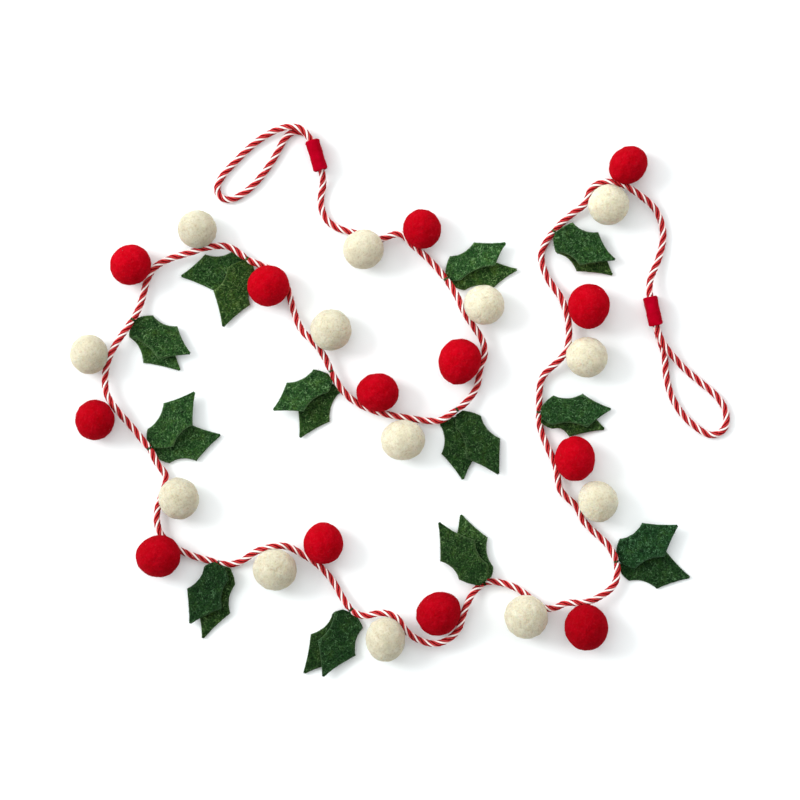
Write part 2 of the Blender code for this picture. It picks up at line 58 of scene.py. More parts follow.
# Places are in marks of a square grid on the board that the garland lies on, x to the right and y
# towards the near edge, counted from its far left corner.
MARK = 0.00071
BOARD_MIDDLE = (380.4, 407.5)

# The cord's middle line, first end to last: marks, marks, and millimetres above the surface.
CORD_ROUTE = (
    # the first end lies in its sleeve, under the run that goes on
    (318.2, 162, 4.5), (312.3, 143, 4.5), (307, 134.5, 4.1), (299, 130.6, 3.2),
    (290, 132.6, 2.8), (284, 139.5, 2.8), (275.5, 155.2, 2.8), (262.8, 174, 2.8),
    (248.5, 189.4, 2.8), (239.2, 195.8, 2.8), (229, 200, 2.8), (219.6, 196.8, 2.8),
    (216.5, 188, 2.8), (220.6, 178.2, 2.8), (234.4, 162.4, 2.8), (249.8, 147, 2.9),
    (266.4, 134.9, 3.8), (280, 128.4, 6), (292, 126.4, 8.4), (302.3, 129.3, 9.7),
    (309, 137.2, 10.1), (312.9, 145.5, 10.1), (320.2, 167.5, 10.1), (323, 177, 6.9),
    # down to the first balls and leaves
    (323, 186, 4.1), (320.5, 199, 3), (324, 216, 3), (336, 227.5, 3),
    (350, 231.5, 3.2), (364, 235.5, 3.4), (379.5, 240, 4.4), (391, 235.2, 6.6),
    (401.2, 233.6, 7.7), (410.5, 243, 7.5), (426, 256.5, 5.2), (446, 279, 7),
    (459, 300, 11.2), (463.5, 311, 12.9), (473, 325.5, 10.3), (483, 342, 7.7),
    (485, 354, 7.7), (480, 368, 8.2), (477.5, 385.5, 4.7), (465, 403.5, 7.3),
    (451.8, 413.2, 7.4), (441.5, 420.4, 7), (427, 420.8, 5.2), (405.2, 417.6, 7.7),
    (388, 414.5, 6.9), (368, 408.5, 6), (348, 396.5, 5.2), (335, 379, 7),
    (323.5, 355, 8.6), (314, 342, 12), (303, 332, 8.6), (293, 309, 3.9),
    (287.5, 289, 3.8), (281.5, 276, 4), (266, 267.5, 5.2),
    # the top left corner and down the left side
    (249.3, 260.4, 7.1), (228.3, 246.6, 7.7), (208.7, 247.1, 11.6), (189.8, 252.9, 9.9),
    (168, 259.5, 6.9), (155.5, 266.4, 7.7), (148.5, 276.5, 8.2), (142.4, 297.7, 4.7),
    (138, 310.5, 6), (128.4, 326, 7.2), (114.8, 346.2, 10.3), (109.5, 357, 12),
    (104.9, 378, 7.7), (107, 395, 9.5), (115, 407.5, 11.2), (132, 427.2, 6),
    (142.6, 440.2, 6.7), (150.6, 450.2, 7), (157, 463.5, 5.6), (166.5, 477, 3.9),
    (163, 491, 3.8), (157, 511, 6), (158.5, 530, 6), (168, 543, 4),
    (186, 553.5, 3.8), (214, 562, 2.9), (227, 565, 3.1), (238.5, 562.8, 3.9),
    (256, 551.5, 8.6),
    # along the near side
    (270, 547, 12), (286, 546, 9.5), (301, 553.5, 7.3), (315.5, 562.5, 7.3),
    (332, 580, 4.3), (345.7, 603, 7), (351.5, 610.5, 7.3), (361, 615.8, 7.7),
    (383, 612.5, 11.2), (397.1, 617.4, 12.5), (404.8, 629.4, 11.6), (419.5, 640.3, 8.6),
    (438, 643.5, 10.3), (457, 631.5, 12), (465, 609, 9.5), (475.5, 590, 4.8),
    (481.5, 585, 3.4), (489, 581.4, 3.1), (499, 582.5, 3.6), (512.4, 586.2, 5.2),
    (526, 594.5, 5.2), (540.3, 606.4, 5.6), (552.2, 609, 7.7), (566, 602.5, 11.2),
    (583, 603, 12.5), (600.8, 596.1, 8.6), (614.8, 584.5, 6),
    # up the right side
    (617.6, 568, 7), (614.6, 556, 6.8), (608.6, 546, 6.5), (590.5, 528.6, 6),
    (581.9, 518.6, 5), (577.6, 507.2, 5), (567.2, 498, 6), (559.4, 488.6, 6.2),
    (558, 478, 5.6), (556.6, 467.5, 5.2), (548.7, 449.3, 4.3), (540, 426, 3),
    (539.4, 404, 2.9), (543, 376.2, 4.3), (558, 361.5, 8.2), (566.2, 351.9, 9.5),
    (569.1, 335, 8.2), (568, 318, 8.6), (562, 299.5, 6.9), (546.5, 275.5, 3.4),
    (541.2, 254, 3), (552.5, 233, 2.9), (573.6, 212.7, 4.7), (586.7, 202.2, 7.7),
    (590, 190, 9.5), (602, 182.5, 11.2), (619, 183.5, 12.9), (640, 195.5, 8.2),
    (655.2, 208.6, 4.3), (663.5, 231, 3.1), (658.5, 260, 4.3), (650, 281, 7.7),
    (649.3, 291, 9.6),
    # through the last sleeve, round its loop and back under the run that came in
    (650.5, 301, 10.1), (655.6, 323, 10.1), (658.5, 334, 9.7), (664.2, 345.2, 8.3),
    (673.7, 356.8, 5.3), (686.4, 370.2, 3), (703.1, 384.2, 2.8), (718.1, 397.4, 2.8),
    (726.5, 412, 2.8), (724.8, 429.4, 2.8), (712.2, 435.6, 2.8), (697.2, 427.8, 2.8),
    (681.1, 412.2, 2.8), (670.2, 391.7, 2.8), (666, 371, 2.8), (665, 353.9, 2.9),
    (659.8, 340, 3.4), (656.4, 326.5, 4.5), (652, 307, 4.5),
)

# Balls: marks, half of the long and short width in millimetres, turn of the long width in degrees
# from x towards the far edge, how much the ball narrows along it, as an egg does, and how much
# lighter or darker than usual it is drawn.
BALL_TABLE = ("x", "y", "long", "short", "turn", "narrowing", "tone")
RED_BALLS = (
    (422, 229.3, 14.1, 13.5, 90, 0, 1.05),
    (459.5, 361.8, 16.5, 14.9, 75, -0.07, 1.15),
    (377.5, 392.5, 14.9, 13.8, 0, -0.05, 1.05),
    (268.5, 286, 14.9, 14.6, 0, 0, 1.15),
    (131, 265, 14.8, 14.2, 45, 0, 1.15),
    (95.3, 420, 14.2, 14.1, 90, 0, 0.95),
    (158.5, 556, 15.8, 14.9, 0, -0.05, 0.9),
    (323.5, 543, 14.9, 13.9, 90, 0.04, 1.08),
    (439, 613, 16.2, 15.2, 45, 0.06, 0.9),
    (586, 627, 16.3, 15.6, 90, 0, 0.8),
    (574.7, 458.5, 16.2, 14.1, 90, 0, 1.15),
    (588.5, 306.5, 15.9, 14.9, 90, -0.05, 1.15),
    (628, 165.5, 14.5, 12.8, 40, 0, 1.05),
)
CREAM_BALLS = (
    (363.5, 249.5, 14.6, 13.8, 0, 0, 1.02),
    (484, 305, 14.3, 14.1, 0, 0, 1.15),
    (403, 440, 15.5, 14.4, 0, 0, 1.08),
    (331, 330, 14.7, 14.5, 0, 0, 1),
    (197.5, 229.5, 13.8, 13.5, 0, 0, 0.9),
    (89.5, 354.5, 13.8, 13.6, 90, 0, 0.92),
    (179, 498.5, 14.9, 14.2, 100, 0, 0.93),
    (275, 569.5, 15.6, 14.6, 0, 0, 0.95),
    (385.5, 639, 15.6, 14.2, 90, 0, 0.96),
    (526, 616.5, 15.6, 15.3, 90, 0, 1),
    (597.5, 501, 14.9, 13.8, -50, -0.06, 1.06),
    (586.5, 357.3, 14.7, 14.4, 0, 0, 1.1),
    (608.5, 205, 14.6, 14.3, 0, 0, 1.1),
)

# Leaves: where the base and the tip lie in marks, height of base, middle and tip in millimetres, lift
# of the left side in degrees seen from base to tip, hollow across the middle in millimetres, how much
# lighter than usual it is drawn, partly its felt's own colour and partly painted light that is brighter
# towards the far side of the board, and how much yellower than usual its felt is.
LEAF_TABLE = (
    "base_x", "base_y", "tip_x", "tip_y", "base_up", "middle_up", "tip_up", "lift", "hollow", "tone",
    "warm",
)
# Each pair is the lower leaf, then the upper one.
LEAF_PAIRS = (
    ((451.5, 281, 517, 269.5, 1, 1.1, 2.4, 0, 0.2, 1.6, 0.18),
     (447, 276.5, 505.5, 243, 3.1, 6.2, 8, -11, 0.7, 1.65, 0.02)),
    ((245, 261, 181, 276, 1, 1.1, 2.1, 0, 0.2, 1.4, 0.06),
     (248, 261.5, 223, 326.5, 3.4, 3.7, 2.9, -9, 0.4, 1.45, 0.2)),
    ((132.5, 327, 179.5, 370, 1, 1.1, 1.7, 0, 0.2, 1.5, 0.06),
     (132.5, 324, 190, 353.5, 3.1, 5.8, 7.2, -8, 0.7, 1.25, 0.05)),
    ((152, 452, 220, 435, 1.1, 2, 2.6, 0, 1.6, 1.25, 0.02),
     (149.8, 445.5, 194.5, 392, 3.1, 6.4, 8, -12, 0.7, 1.3, 0.02)),
    ((224, 566, 202.5, 638.5, 8.1, 3.8, 1.7, 0, 0.2, 0.98, 0.12),
     (219, 564, 190, 623.5, 10.5, 7.5, 5.7, 10, 0.5, 0.7, -0.08)),
    ((341, 613.5, 304, 673.5, 1, 1.2, 2.4, 0, 0.2, 0.85, 0.08),
     (349, 612, 323, 676.5, 3.1, 5.2, 6, -5, 0.7, 0.85, -0.06)),
    ((487, 579, 461, 515, 8.1, 3.8, 1.9, 0, 0.2, 1.2, 0.08),
     (483, 583, 439, 522.5, 10.5, 7.6, 6.4, -8, 0.5, 0.95, 0.08)),
    ((620, 566, 690, 577.5, 1, 1.1, 2.1, 0, 0.2, 0.85, -0.06),
     (618, 559, 677.5, 525.5, 3.1, 6.4, 8.6, -9, 0.7, 0.95, -0.16)),
    ((541.5, 418, 604.5, 429, 8.1, 3.8, 1.7, 0, 0.2, 1.05, 0.18),
     (541, 412.5, 611, 409, 10.5, 6.6, 4.1, 1, 0.3, 1.3, -0.04)),
    ((556, 242, 612.5, 274.5, 8.1, 3.8, 1.7, 0, 0.2, 1.1, 0.22),
     (554, 236, 615, 259.5, 10.9, 7.9, 7.7, -8, 0.5, 1.35, 0)),
    ((449, 418, 463, 479.5, 1, 1.1, 2.4, 0, 0.2, 1.1, 0.06),
     (459.5, 412.5, 498.5, 474, 3.1, 4.7, 5.4, -6, 0.7, 0.92, 0.04)),
    ((336.5, 386.5, 300, 437.5, 1, 1.3, 2.6, 0, 0.2, 1.25, 0.14),
     (330.5, 377.5, 273.5, 410, 3.1, 8.6, 11, 16, 0.7, 1.45, 0.02)),
)

# How each leaf is cut: half width of the base, and on each side a shoulder and a point, as a share of
# the length and a distance from the middle line. Widths in millimetres.
LEAF_CUT_TABLE = (
    "base_out", "left_shoulder", "left_shoulder_out", "left_point", "left_point_out",
    "right_shoulder", "right_shoulder_out", "right_point", "right_point_out",
    "left_tip_bow", "right_tip_bow",
)
LEAF_CUTS = (
    ((3, 0.16, 10.7, 0.59, 11.6, 0.18, 8, 0.61, 9.7, -0.8, -0.8),
     (2.7, 0.19, 11.6, 0.6, 11.7, 0.17, 7.1, 0.7, 10.2, -0.8, -0.8)),
    ((4, 0.28, 15.9, 0.52, 17.2, 0.16, 9, 0.57, 11.3, -0.8, -0.8),
     (3.2, 0.17, 7.8, 0.57, 12.3, 0.2, 12.3, 0.57, 15.6, -0.8, -0.8)),
    ((3.5, 0.21, 9, 0.61, 11.5, 0.09, 7, 0.5, 13.8, -0.8, -0.8),
     (4.6, 0.22, 12, 0.63, 13.2, 0.09, 9.3, 0.59, 13.9, -1.4, -0.5)),
    ((3, 0.27, 12.1, 0.6, 13.3, 0.2, 10.8, 0.58, 13.9, -0.8, -0.8),
     (2.8, 0.16, 8.8, 0.59, 11.9, 0.21, 13.4, 0.62, 14.2, -0.8, -0.8)),
    ((4.5, 0.2, 11.3, 0.58, 13.8, 0.17, 9.4, 0.68, 8.5, -0.8, -0.8),
     (3.4, 0.15, 11.2, 0.58, 15.6, 0.14, 8.6, 0.55, 12.9, -0.8, -0.5)),
    ((3.2, 0.19, 8.1, 0.68, 13.5, 0.11, 4.6, 0.48, 10.6, -0.8, -0.8),
     (4.6, 0.14, 13.5, 0.55, 16, 0.1, 9.5, 0.55, 13, -1.1, -0.8)),
    ((3, 0.17, 7.2, 0.61, 13.5, 0.14, 7.3, 0.55, 11.6, -0.8, -0.8),
     (3.2, 0.23, 12.3, 0.57, 15.5, 0.17, 10.8, 0.53, 13.4, -0.7, -1.8)),
    ((3, 0.17, 10.1, 0.62, 15.2, 0.17, 9.5, 0.57, 11.9, -0.8, -0.8),
     (3, 0.17, 11.7, 0.57, 13.9, 0.16, 12.1, 0.61, 14.9, -0.8, -0.8)),
    ((3.2, 0.16, 7.8, 0.71, 12.9, 0.22, 6.1, 0.48, 9.9, -0.8, -0.8),
     (3.6, 0.19, 11.6, 0.61, 12, 0.16, 9.5, 0.65, 12.4, -1.2, -0.8)),
    ((2.8, 0.2, 9, 0.71, 12.4, 0.11, 6.6, 0.5, 10.7, -0.8, -0.8),
     (2.7, 0.19, 13.8, 0.61, 14, 0.13, 10.2, 0.53, 12.9, -2.1, -0.5)),
    ((5, 0.18, 8, 0.66, 13.6, 0.1, 7.1, 0.53, 10.9, -0.8, -0.8),
     (2.8, 0.2, 11.6, 0.6, 14.6, 0.16, 7.7, 0.58, 13.7, -0.2, -0.8)),
    ((3, 0.07, 4.3, 0.52, 10.6, 0.28, 11.5, 0.61, 14.7, -0.8, -0.8),
     (2.8, 0.16, 8.4, 0.61, 11.6, 0.17, 11.1, 0.62, 12.3, -0.5, -1.1)),
)
LEAF_TIP_OUT = 0.8
# How far the edge bows outwards from base to shoulder and from shoulder to point, in millimetres.
LEAF_BOWS = (0.9, -2.6)
LEAF_USUAL_OUT = 0.0136

# Sleeves: marks of the two ends of the middle line.
SLEEVES = {
    "sleeve_first": ((311.9, 140.2), (320.9, 170.3)),
    "sleeve_last": ((649.9, 296.7), (656.1, 325.5)),
}
# Share of the length, share of the width.
SLEEVE_WAIST = ((0, 1), (0.33, 0.97), (0.67, 0.97), (1, 1))
SLEEVE_BOTTOM = 0.0001
SLEEVE_TOP = 0.0155
# How far the rims stand back along the cord at the two sides, where the strip curls round.
SLEEVE_RIM_BACK = 0.0014

# How closely each surface is worked.
CORD_STEP = 0.0012
CORD_COLUMNS_A_YARN = 6
BALL_COLUMNS = 72
BALL_ROWS = 48
LEAF_ROWS_A_SPAN = 12
LEAF_COLUMNS = 15
SLEEVE_COLUMNS = 72
SLEEVE_ROWS = 30

# Lumps of each surface: depth and size in metres, and first seed.
LUMPS = {
    "cord": ((0.00006, 0.004, 5),),
    "ball": ((0.00016, 0.006, 40), (0.00007, 0.0022, 70)),
    "leaf_nap": ((0.00005, 0.0022, 440),),
    "leaf_cut": ((0.00009, 0.0016, 480),),
    "sleeve": ((0.00012, 0.006, 0), (0.00004, 0.0018, 1)),
}
LUMP_WAVES = 28
LUMP_LENGTHS = (0.7, 1.6)

# Loose fibres on one piece, in metres, and the first seeds that place their roots and lay them.
FIBRES = {
    "cord": dict(count=2400, length=0.0022, lift=0.0005, radius=0.000028, root_seed=11, lay_seed=12),
    "ball": dict(count=420, length=0.0026, lift=0.0005, radius=0.000022, root_seed=200, lay_seed=300),
    "leaf": dict(count=260, length=0.0016, lift=0.00045, radius=0.000022, root_seed=500, lay_seed=540),
    "sleeve": dict(count=160, length=0.002, lift=0.0004, radius=0.000022, root_seed=600, lay_seed=0),
}
# Shares of its length and lift that a fibre may have, how far it bends, and how it tapers.
FIBRE_LENGTHS = (0.5, 1.2)
FIBRE_LIFTS = (0.2, 1.0)
FIBRE_BEND = 0.35
FIBRE_TAPER = (1.0, 0.9, 0.5)
FIBRE_SIDES = 3
FIBRE_LOWEST = 0.00003

# How deep yarns dip at their borders, as a share of the cord's radius, and by what power.
YARN_VALLEY = 0.28
YARN_ARCH_POWER = 2.2
CORD_BARE_RINGS = 20

# Where each pair of leaves is sewn to the cord, in marks.
STITCHES = (
    (446, 279), (246, 259.5), (133, 320.5), (150, 448.5), (218, 563), (350, 610.5),
    (485, 583), (616.5, 561.5), (540, 412), (555, 231), (458, 410), (331.5, 371.5),
)
# The thread draws the cord in by that share over that reach. Its spacing and sway are in its radii.
STITCH_PULL = 0.30
STITCH_REACH = 0.0016
STITCH_TURNS = 4
STITCH_STEPS_A_TURN = 14
STITCH_THREAD = 0.00022
STITCH_SPACING = 2.1
STITCH_SWAY = 0.25
STITCH_SWAYS = 5
STITCH_SIDES = 5

# How far the cord stays off a ball, and how much of it round the ball's middle is looked at.
BALL_TOUCH = 0.0001
BALL_REACH = 0.024
BALL_PRESSES = 2
# How fast a ball's lumps come in past its flat spot, and how many rings there have no fibres.
BALL_LUMPS_RISE = 2.5
BALL_BARE_RINGS = 6

# How far a leaf's rim is drawn in, and at most what share of its width.
LEAF_RIM = 0.00038
LEAF_RIM_SHARE = 0.3
LEAF_LOWEST = 0.0001
LEAF_WAVE = {"base": 0.00008, "more_at_tip": 0.00025, "size": 0.022, "seed": 400}
# A leaf hollow by more than this, in millimetres, has a sharp fold along its middle.
LEAF_FOLDED_FROM = 1.0
LEAF_FOLD_POWER = 1.1
LEAF_HOLLOW_POWER = 2.0
# Powers that keep the ragged cut, and the pale rim of lighter cut fibres and painted highlight, to the
# edge.
LEAF_CUT_POWER = 8
LEAF_EDGE_POWER = 40
LEAF_NAP_SHIFT = 0.01
# The lower leaf and the upper one: ends of the names of piece and node, and first seed.
LEAF_LAYERS = (("under", "lower", 0), ("over", "upper", 20))

# Share by which a sleeve's lips stand out and how fast it falls off. Where one edge of the strip laps
# over the other: its step in metres, and the angles where it starts and ends and how fast.
SLEEVE_LIP = 0.03
SLEEVE_LIP_FALL = 16
SLEEVE_LAP = {"step": 0.00035, "start": 0.9, "rise": 8, "end": 2.6, "fall": 0.8}
SLEEVE_RIM_POWER = 6
SLEEVE_SEED = 90

# Wool felt: its deep, usual and light colours and that of its fibres, shares of fibres and of dark
# brown spots, painted shade in the pits of its grain with a brown tint, depth of its grain in metres,
# the light that passes through it, and its sheen.
WOOLS = {
    "red_wool_felt": (
        (0.31, 0.0, 0.003, 1), (0.35, 0.0, 0.005, 1), (0.39, 0.001, 0.008, 1), (0.58, 0.04, 0.06, 1),
        0.15, 0.22, 0.0007, 0.0, 0.03,
    ),
    "red_felt_strip": (
        (0.29, 0.0, 0.006, 1), (0.34, 0.0, 0.010, 1), (0.39, 0.0, 0.014, 1), (0.46, 0.0, 0.02, 1),
        0.15, 0.1, 0.0002, 0.0, 0.03,
    ),
    "cream_wool_felt": (
        (0.55, 0.53, 0.40, 1), (0.61, 0.595, 0.46, 1), (0.66, 0.65, 0.52, 1), (0.33, 0.24, 0.13, 1),
        0.42, 0.40, 0.0013, 0.5, 0.15,
    ),
}
# The brown of the painted shade in the wool's pits.
WOOL_PIT_SHADE = (0.60, 0.46, 0.34, 1)
# Yarn: painted shade where it dips between yarns, on the white one with a painted pink reflection of
# the red yarns; its colour on the crest; the colour of its fibres, also painted as a highlight along
# the middle of the crest; and its sheen.
YARN_FINISHES = {
    "red_yarn": ((0.02, 0.0, 0.0, 1), (0.49, 0.0, 0.004, 1), (0.87, 0.14, 0.14, 1), 0.01),
    "white_yarn": ((0.80, 0.38, 0.36, 1), (1.0, 0.88, 0.85, 1), (1.0, 0.97, 0.95, 1), 0.02),
}
YARN_PLIES_A_METRE = 1500.0
YARN_PLY_SLANT = -2.2
# Green felt: its ground from deep to light, the painted shade in its pits, and the tints of its fibres,
# of its cut rim, partly lighter cut fibres and partly a painted highlight, and of its sheen.
GREENS = ((0.005, 0.026, 0.006, 1), (0.014, 0.051, 0.011, 1), (0.032, 0.076, 0.013, 1))
GREEN_PIT_SHADE = (0.20, 0.20, 0.22, 1)
GREEN_FIBRE = (0.140, 0.270, 0.115, 1)
GREEN_RIM_AND_HIGHLIGHT = (0.120, 0.210, 0.095, 1)
GREEN_SHEEN = (0.35, 0.50, 0.30, 1)
PALE_CARD = (0.925, 0.965, 0.970, 1)
BLACK = (0, 0, 0, 1)
DIM = (0.25, 0.25, 0.25, 1)
WHITE = (1, 1, 1, 1)

# Patterns: lumps to a metre, detail and roughness of each noise.
WOOL_PATCHES = (190.0, 3.0, 0.6)
WOOL_PITS = (620.0, 3.0, 0.7)
GREEN_PATCHES = (140.0, 3.0, 0.6)
GREEN_MOTTLE = (800.0, 3.0, 0.75)
GREEN_GLINTS = (260.0, 2.0, 0.6)
CARD_TOOTH = (400.0, 2.0, 0.5)
# Fine hairs: how many to a metre, their thickness beside their length, their directions and tilt.
WOOL_HAIRS = 1100.0
GREEN_HAIRS = 1250.0
HAIR_THINNESS = 0.25
HAIR_DIRECTIONS = 5
HAIR_TILT = 0.4

# The photograph's frame in marks, and how high up it is as wide as that and the camera stands.
PICTURE_SIDE = 800
CAMERA_HEIGHT = 4.0
PICTURE_HEIGHT = 0.008
SENSOR = 36.0
FLOOR_SIDE = 12.0
# The light all round is brighter on the far left, by that share of it.
WORLD_STRENGTH = 1.055
WORLD_LEAN = (-0.39, 0.80, 0.05)
# The broad lamp: where it stands, its side in metres and its power in watts.
LAMP_PLACE = (-3.65, 1.33, 2.93)
LAMP_SIDE = 2.0
LAMP_POWER = 138.0
UP = np.array([0.0, 0.0, 1.0])
TINY = 1e-12


def on_board(x, y):
    """Metres of a place in marks."""
    across = (np.asarray(x, float) - BOARD_MIDDLE[0]) * MARK
    away = (BOARD_MIDDLE[1] - np.asarray(y, float)) * MARK
    return across, away


def unit(vectors):
    """Each vector at length one."""
    return vectors / np.maximum(np.linalg.norm(vectors, axis=-1, keepdims=True), TINY)


def cross_axes(forward):
    """Two axes square to the way ahead: a level one on its right, and the one square to both."""
    side = unit(np.cross(forward, UP))
    return side, np.cross(side, forward)


def span_lengths(line):
    """The distance from each place of a line to the next."""
    return np.linalg.norm(np.diff(line, axis=0), axis=1)


def distance_along(line):
    """How far each place of a line lies from its start, span by span."""
    return np.concatenate([[0.0], np.cumsum(span_lengths(line))])


def nearest_to_mark(line, mark):
    """Which place of a line lies nearest to a mark, seen from above."""
    return np.linalg.norm(line[:, :2] - np.array(on_board(*mark)), axis=1).argmin()


def smooth_curve(points, samples=16):
    """Cubic curve through the points: at each one it runs along the mean of the two spans that meet
    there, the shorter span counting for more."""
    lengths = span_lengths(points)[:, None]
    slopes = np.diff(points, axis=0) / lengths
    inner = (slopes[:-1] * lengths[1:] + slopes[1:] * lengths[:-1]) / (lengths[:-1] + lengths[1:])
    tangents = np.vstack([slopes[:1], inner, slopes[-1:]])
    t = (np.arange(samples) / samples)[None, :, None]
    start = points[:-1, None] * (2 * t**3 - 3 * t**2 + 1) + points[1:, None] * (3 * t**2 - 2 * t**3)
    lean = tangents[:-1, None] * (t**3 - 2 * t**2 + t) + tangents[1:, None] * (t**3 - t**2)
    curve = (start + lean * lengths[:, None]).reshape(-1, 3)
    return np.vstack([curve, points[-1:]])


def even_steps(curve, step):
    """The curve at equal distances along it, as near to the step as its length allows."""
    along = distance_along(curve)
    count = int(round(along[-1] / step))
    wanted = np.linspace(0.0, along[-1], count + 1)
    return np.column_stack([np.interp(wanted, along, curve[:, axis]) for axis in range(3)])


def eased(curve, reach):
    """Equal steps of a curve, each moved to the mean of its neighbours within the reach, the near ones
    counting for more. The ends stay where they are."""
    weight = np.hanning(2 * reach + 1)
    weight = weight / weight.sum()
    before = 2 * curve[:1] - curve[reach:0:-1]
    after = 2 * curve[-1:] - curve[-2:-reach - 2:-1]
    longer = np.vstack([before, curve, after])
    return np.column_stack([np.convolve(longer[:, axis], weight, "valid") for axis in range(3)])


def cord_middle_line(step):
    """The cord's middle line in metres, at equal steps."""
    table = np.array(CORD_ROUTE)
    across, away = on_board(table[:, 0], table[:, 1])
    points = np.column_stack([across, away, table[:, 2] * MILLIMETRE])
    fine = even_steps(smooth_curve(points), MILLIMETRE)
    return even_steps(eased(fine, CORD_EASE_STEPS), step)


def lumps(places, size, seed):
    """Unevenness of hand-worked wool: the sum of sine waves in random directions, each about as long
    as the size given, so that it lies mostly between -1 and 1."""
    rng = np.random.default_rng(seed)
    heading = unit(rng.normal(size=(LUMP_WAVES, 3)))
    length = size * rng.uniform(*LUMP_LENGTHS, LUMP_WAVES)
    phase = rng.uniform(0.0, 2 * np.pi, LUMP_WAVES)
    turns = places @ (heading * (2 * np.pi / length)[:, None]).T + phase
    return np.sin(turns).sum(axis=-1) / np.sqrt(LUMP_WAVES)


def unevenness(places, kind, seed=0):
    """The lumps of that kind of surface, each times its depth, added up in metres."""
    return sum(depth * lumps(places, size, first + seed) for depth, size, first in LUMPS[kind])


def grid_faces(rows, columns, end_to_end=False):
    """Quads between neighbouring rings, each one row of a grid. end_to_end joins the last to the first.
    Rows run ahead and columns counter-clockwise seen from ahead."""
    index = np.arange(rows * columns).reshape(rows, columns)
    if end_to_end:
        index = np.vstack([index, index[:1]])
    nearby = np.roll(index, -1, axis=1)
    return np.stack([index[:-1], nearby[:-1], nearby[1:], index[1:]], -1).reshape(-1, 4)


def end_faces(rows, columns):
    """The faces that close the first and the last of those rings."""
    first = np.arange(columns)
    return np.stack([first[::-1], first + (rows - 1) * columns])


def fan(ring, middle):
    """Triangles from each side of a ring of point numbers to one middle point."""
    return np.stack([ring, np.roll(ring, -1), np.full(len(ring), middle)], -1)


def spokes(sides):
    """Angles of the corners of an even ring."""
    return np.arange(sides) * (2 * np.pi / sides)


def around(angle, first, second):
    """Directions at an angle from the first axis towards the second."""
    return np.cos(angle)[..., None] * first + np.sin(angle)[..., None] * second


def fibre_roots(kind, seed, low, high):
    """Numbers of points from low up to high where the fibres of that kind of piece root, at random."""
    rng = np.random.default_rng(FIBRES[kind]["root_seed"] + seed)
    return rng.integers(low, high, FIBRES[kind]["count"])


def with_fibres(kind, seed, points, quads, others, chosen, outward):
    """A surface with loose fibres, thin threads through three places: a root just under a chosen point,
    a middle raised by half the lift and bent a little sideways, and an end raised by the lift. Returns
    all points, and the groups of faces: its quads, the fibres' quads, its other faces and their ends."""
    fibres = FIBRES[kind]
    rng = np.random.default_rng(fibres["lay_seed"] + seed)
    roots, count, radius = points[chosen], len(chosen), fibres["radius"]
    outward = unit(outward)
    along = rng.normal(size=(count, 3))
    along = unit(along - (along * outward).sum(1)[:, None] * outward)
    across = np.cross(outward, along)
    reach = fibres["length"] * rng.uniform(*FIBRE_LENGTHS, count)[:, None]
    rise = fibres["lift"] * rng.uniform(*FIBRE_LIFTS, count)[:, None]
    bend = reach * rng.uniform(-FIBRE_BEND, FIBRE_BEND, count)[:, None]
    middle = roots + along * reach * 0.5 + across * bend + outward * rise * 0.5
    end = roots + along * reach + outward * rise
    line = np.stack([roots - outward * 2 * radius, middle, end], 1)
    side = around(spokes(FIBRE_SIDES), across[:, None], outward[:, None])
    fuzz = line[:, :, None] + side[:, None] * radius * np.array(FIBRE_TAPER)[None, :, None, None]
    fuzz[..., 2] = np.maximum(fuzz[..., 2], FIBRE_LOWEST)
    rings = len(FIBRE_TAPER)
    shift = len(points) + (np.arange(count) * rings * FIBRE_SIDES)[:, None, None]
    fuzz_quads = (grid_faces(rings, FIBRE_SIDES)[None, :, ::-1] + shift).reshape(-1, 4)
    fuzz_ends = (end_faces(rings, FIBRE_SIDES)[None, :, ::-1] + shift).reshape(-1, 3)
    return np.vstack([points, fuzz.reshape(-1, 3)]), [quads, fuzz_quads, *others, fuzz_ends]


def fill(items, key, values, kind=np.float32):
    """One value of every item, from an array."""
    items.foreach_set(key, np.asarray(values, kind).reshape(-1))


def make_piece(name, points, face_groups, materials, slots=None, uv=None, edge=None, dye_and_painted_light=None):
    """An object from points and groups of faces with equal counts of sides. slots gives each face's
    place among the materials, uv the pattern coordinates of each corner, edge a share for each point,
    and the last a tint for the whole piece as shares of red, green and blue, on a leaf partly the felt's
    own colour and partly painted light."""
    mesh = bpy.data.meshes.new(name)
    sizes = np.concatenate([np.full(len(group), group.shape[1]) for group in face_groups])
    loops = np.concatenate([group.reshape(-1) for group in face_groups])
    mesh.vertices.add(len(points))
    fill(mesh.vertices, "co", points)
    mesh.loops.add(len(loops))
    fill(mesh.loops, "vertex_index", loops, np.int32)
    mesh.polygons.add(len(sizes))
    fill(mesh.polygons, "loop_start", np.cumsum(sizes) - sizes, np.int32)
    fill(mesh.polygons, "use_smooth", np.ones(len(sizes)), bool)
    for material in materials:
        mesh.materials.append(material)
    if slots is not None:
        fill(mesh.polygons, "material_index", slots, np.int32)
    if uv is not None:
        fill(mesh.uv_layers.new(name="UVMap").data, "uv", uv)
    if edge is not None:
        fill(mesh.attributes.new("edge", "FLOAT", "POINT").data, "value", edge)
    if dye_and_painted_light is not None:
        tint = mesh.attributes.new("dye_and_painted_light", "FLOAT_VECTOR", "POINT")
        fill(tint.data, "vector", np.tile(dye_and_painted_light, len(points)))
    mesh.update(calc_edges=True)
    mesh.validate()
    piece = bpy.data.objects.new(name, mesh)
    bpy.context.scene.collection.objects.link(piece)
    return piece


def place(piece, node):
    """The piece rides on the garland and stands for its node."""
    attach(piece, "root")
    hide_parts(node)


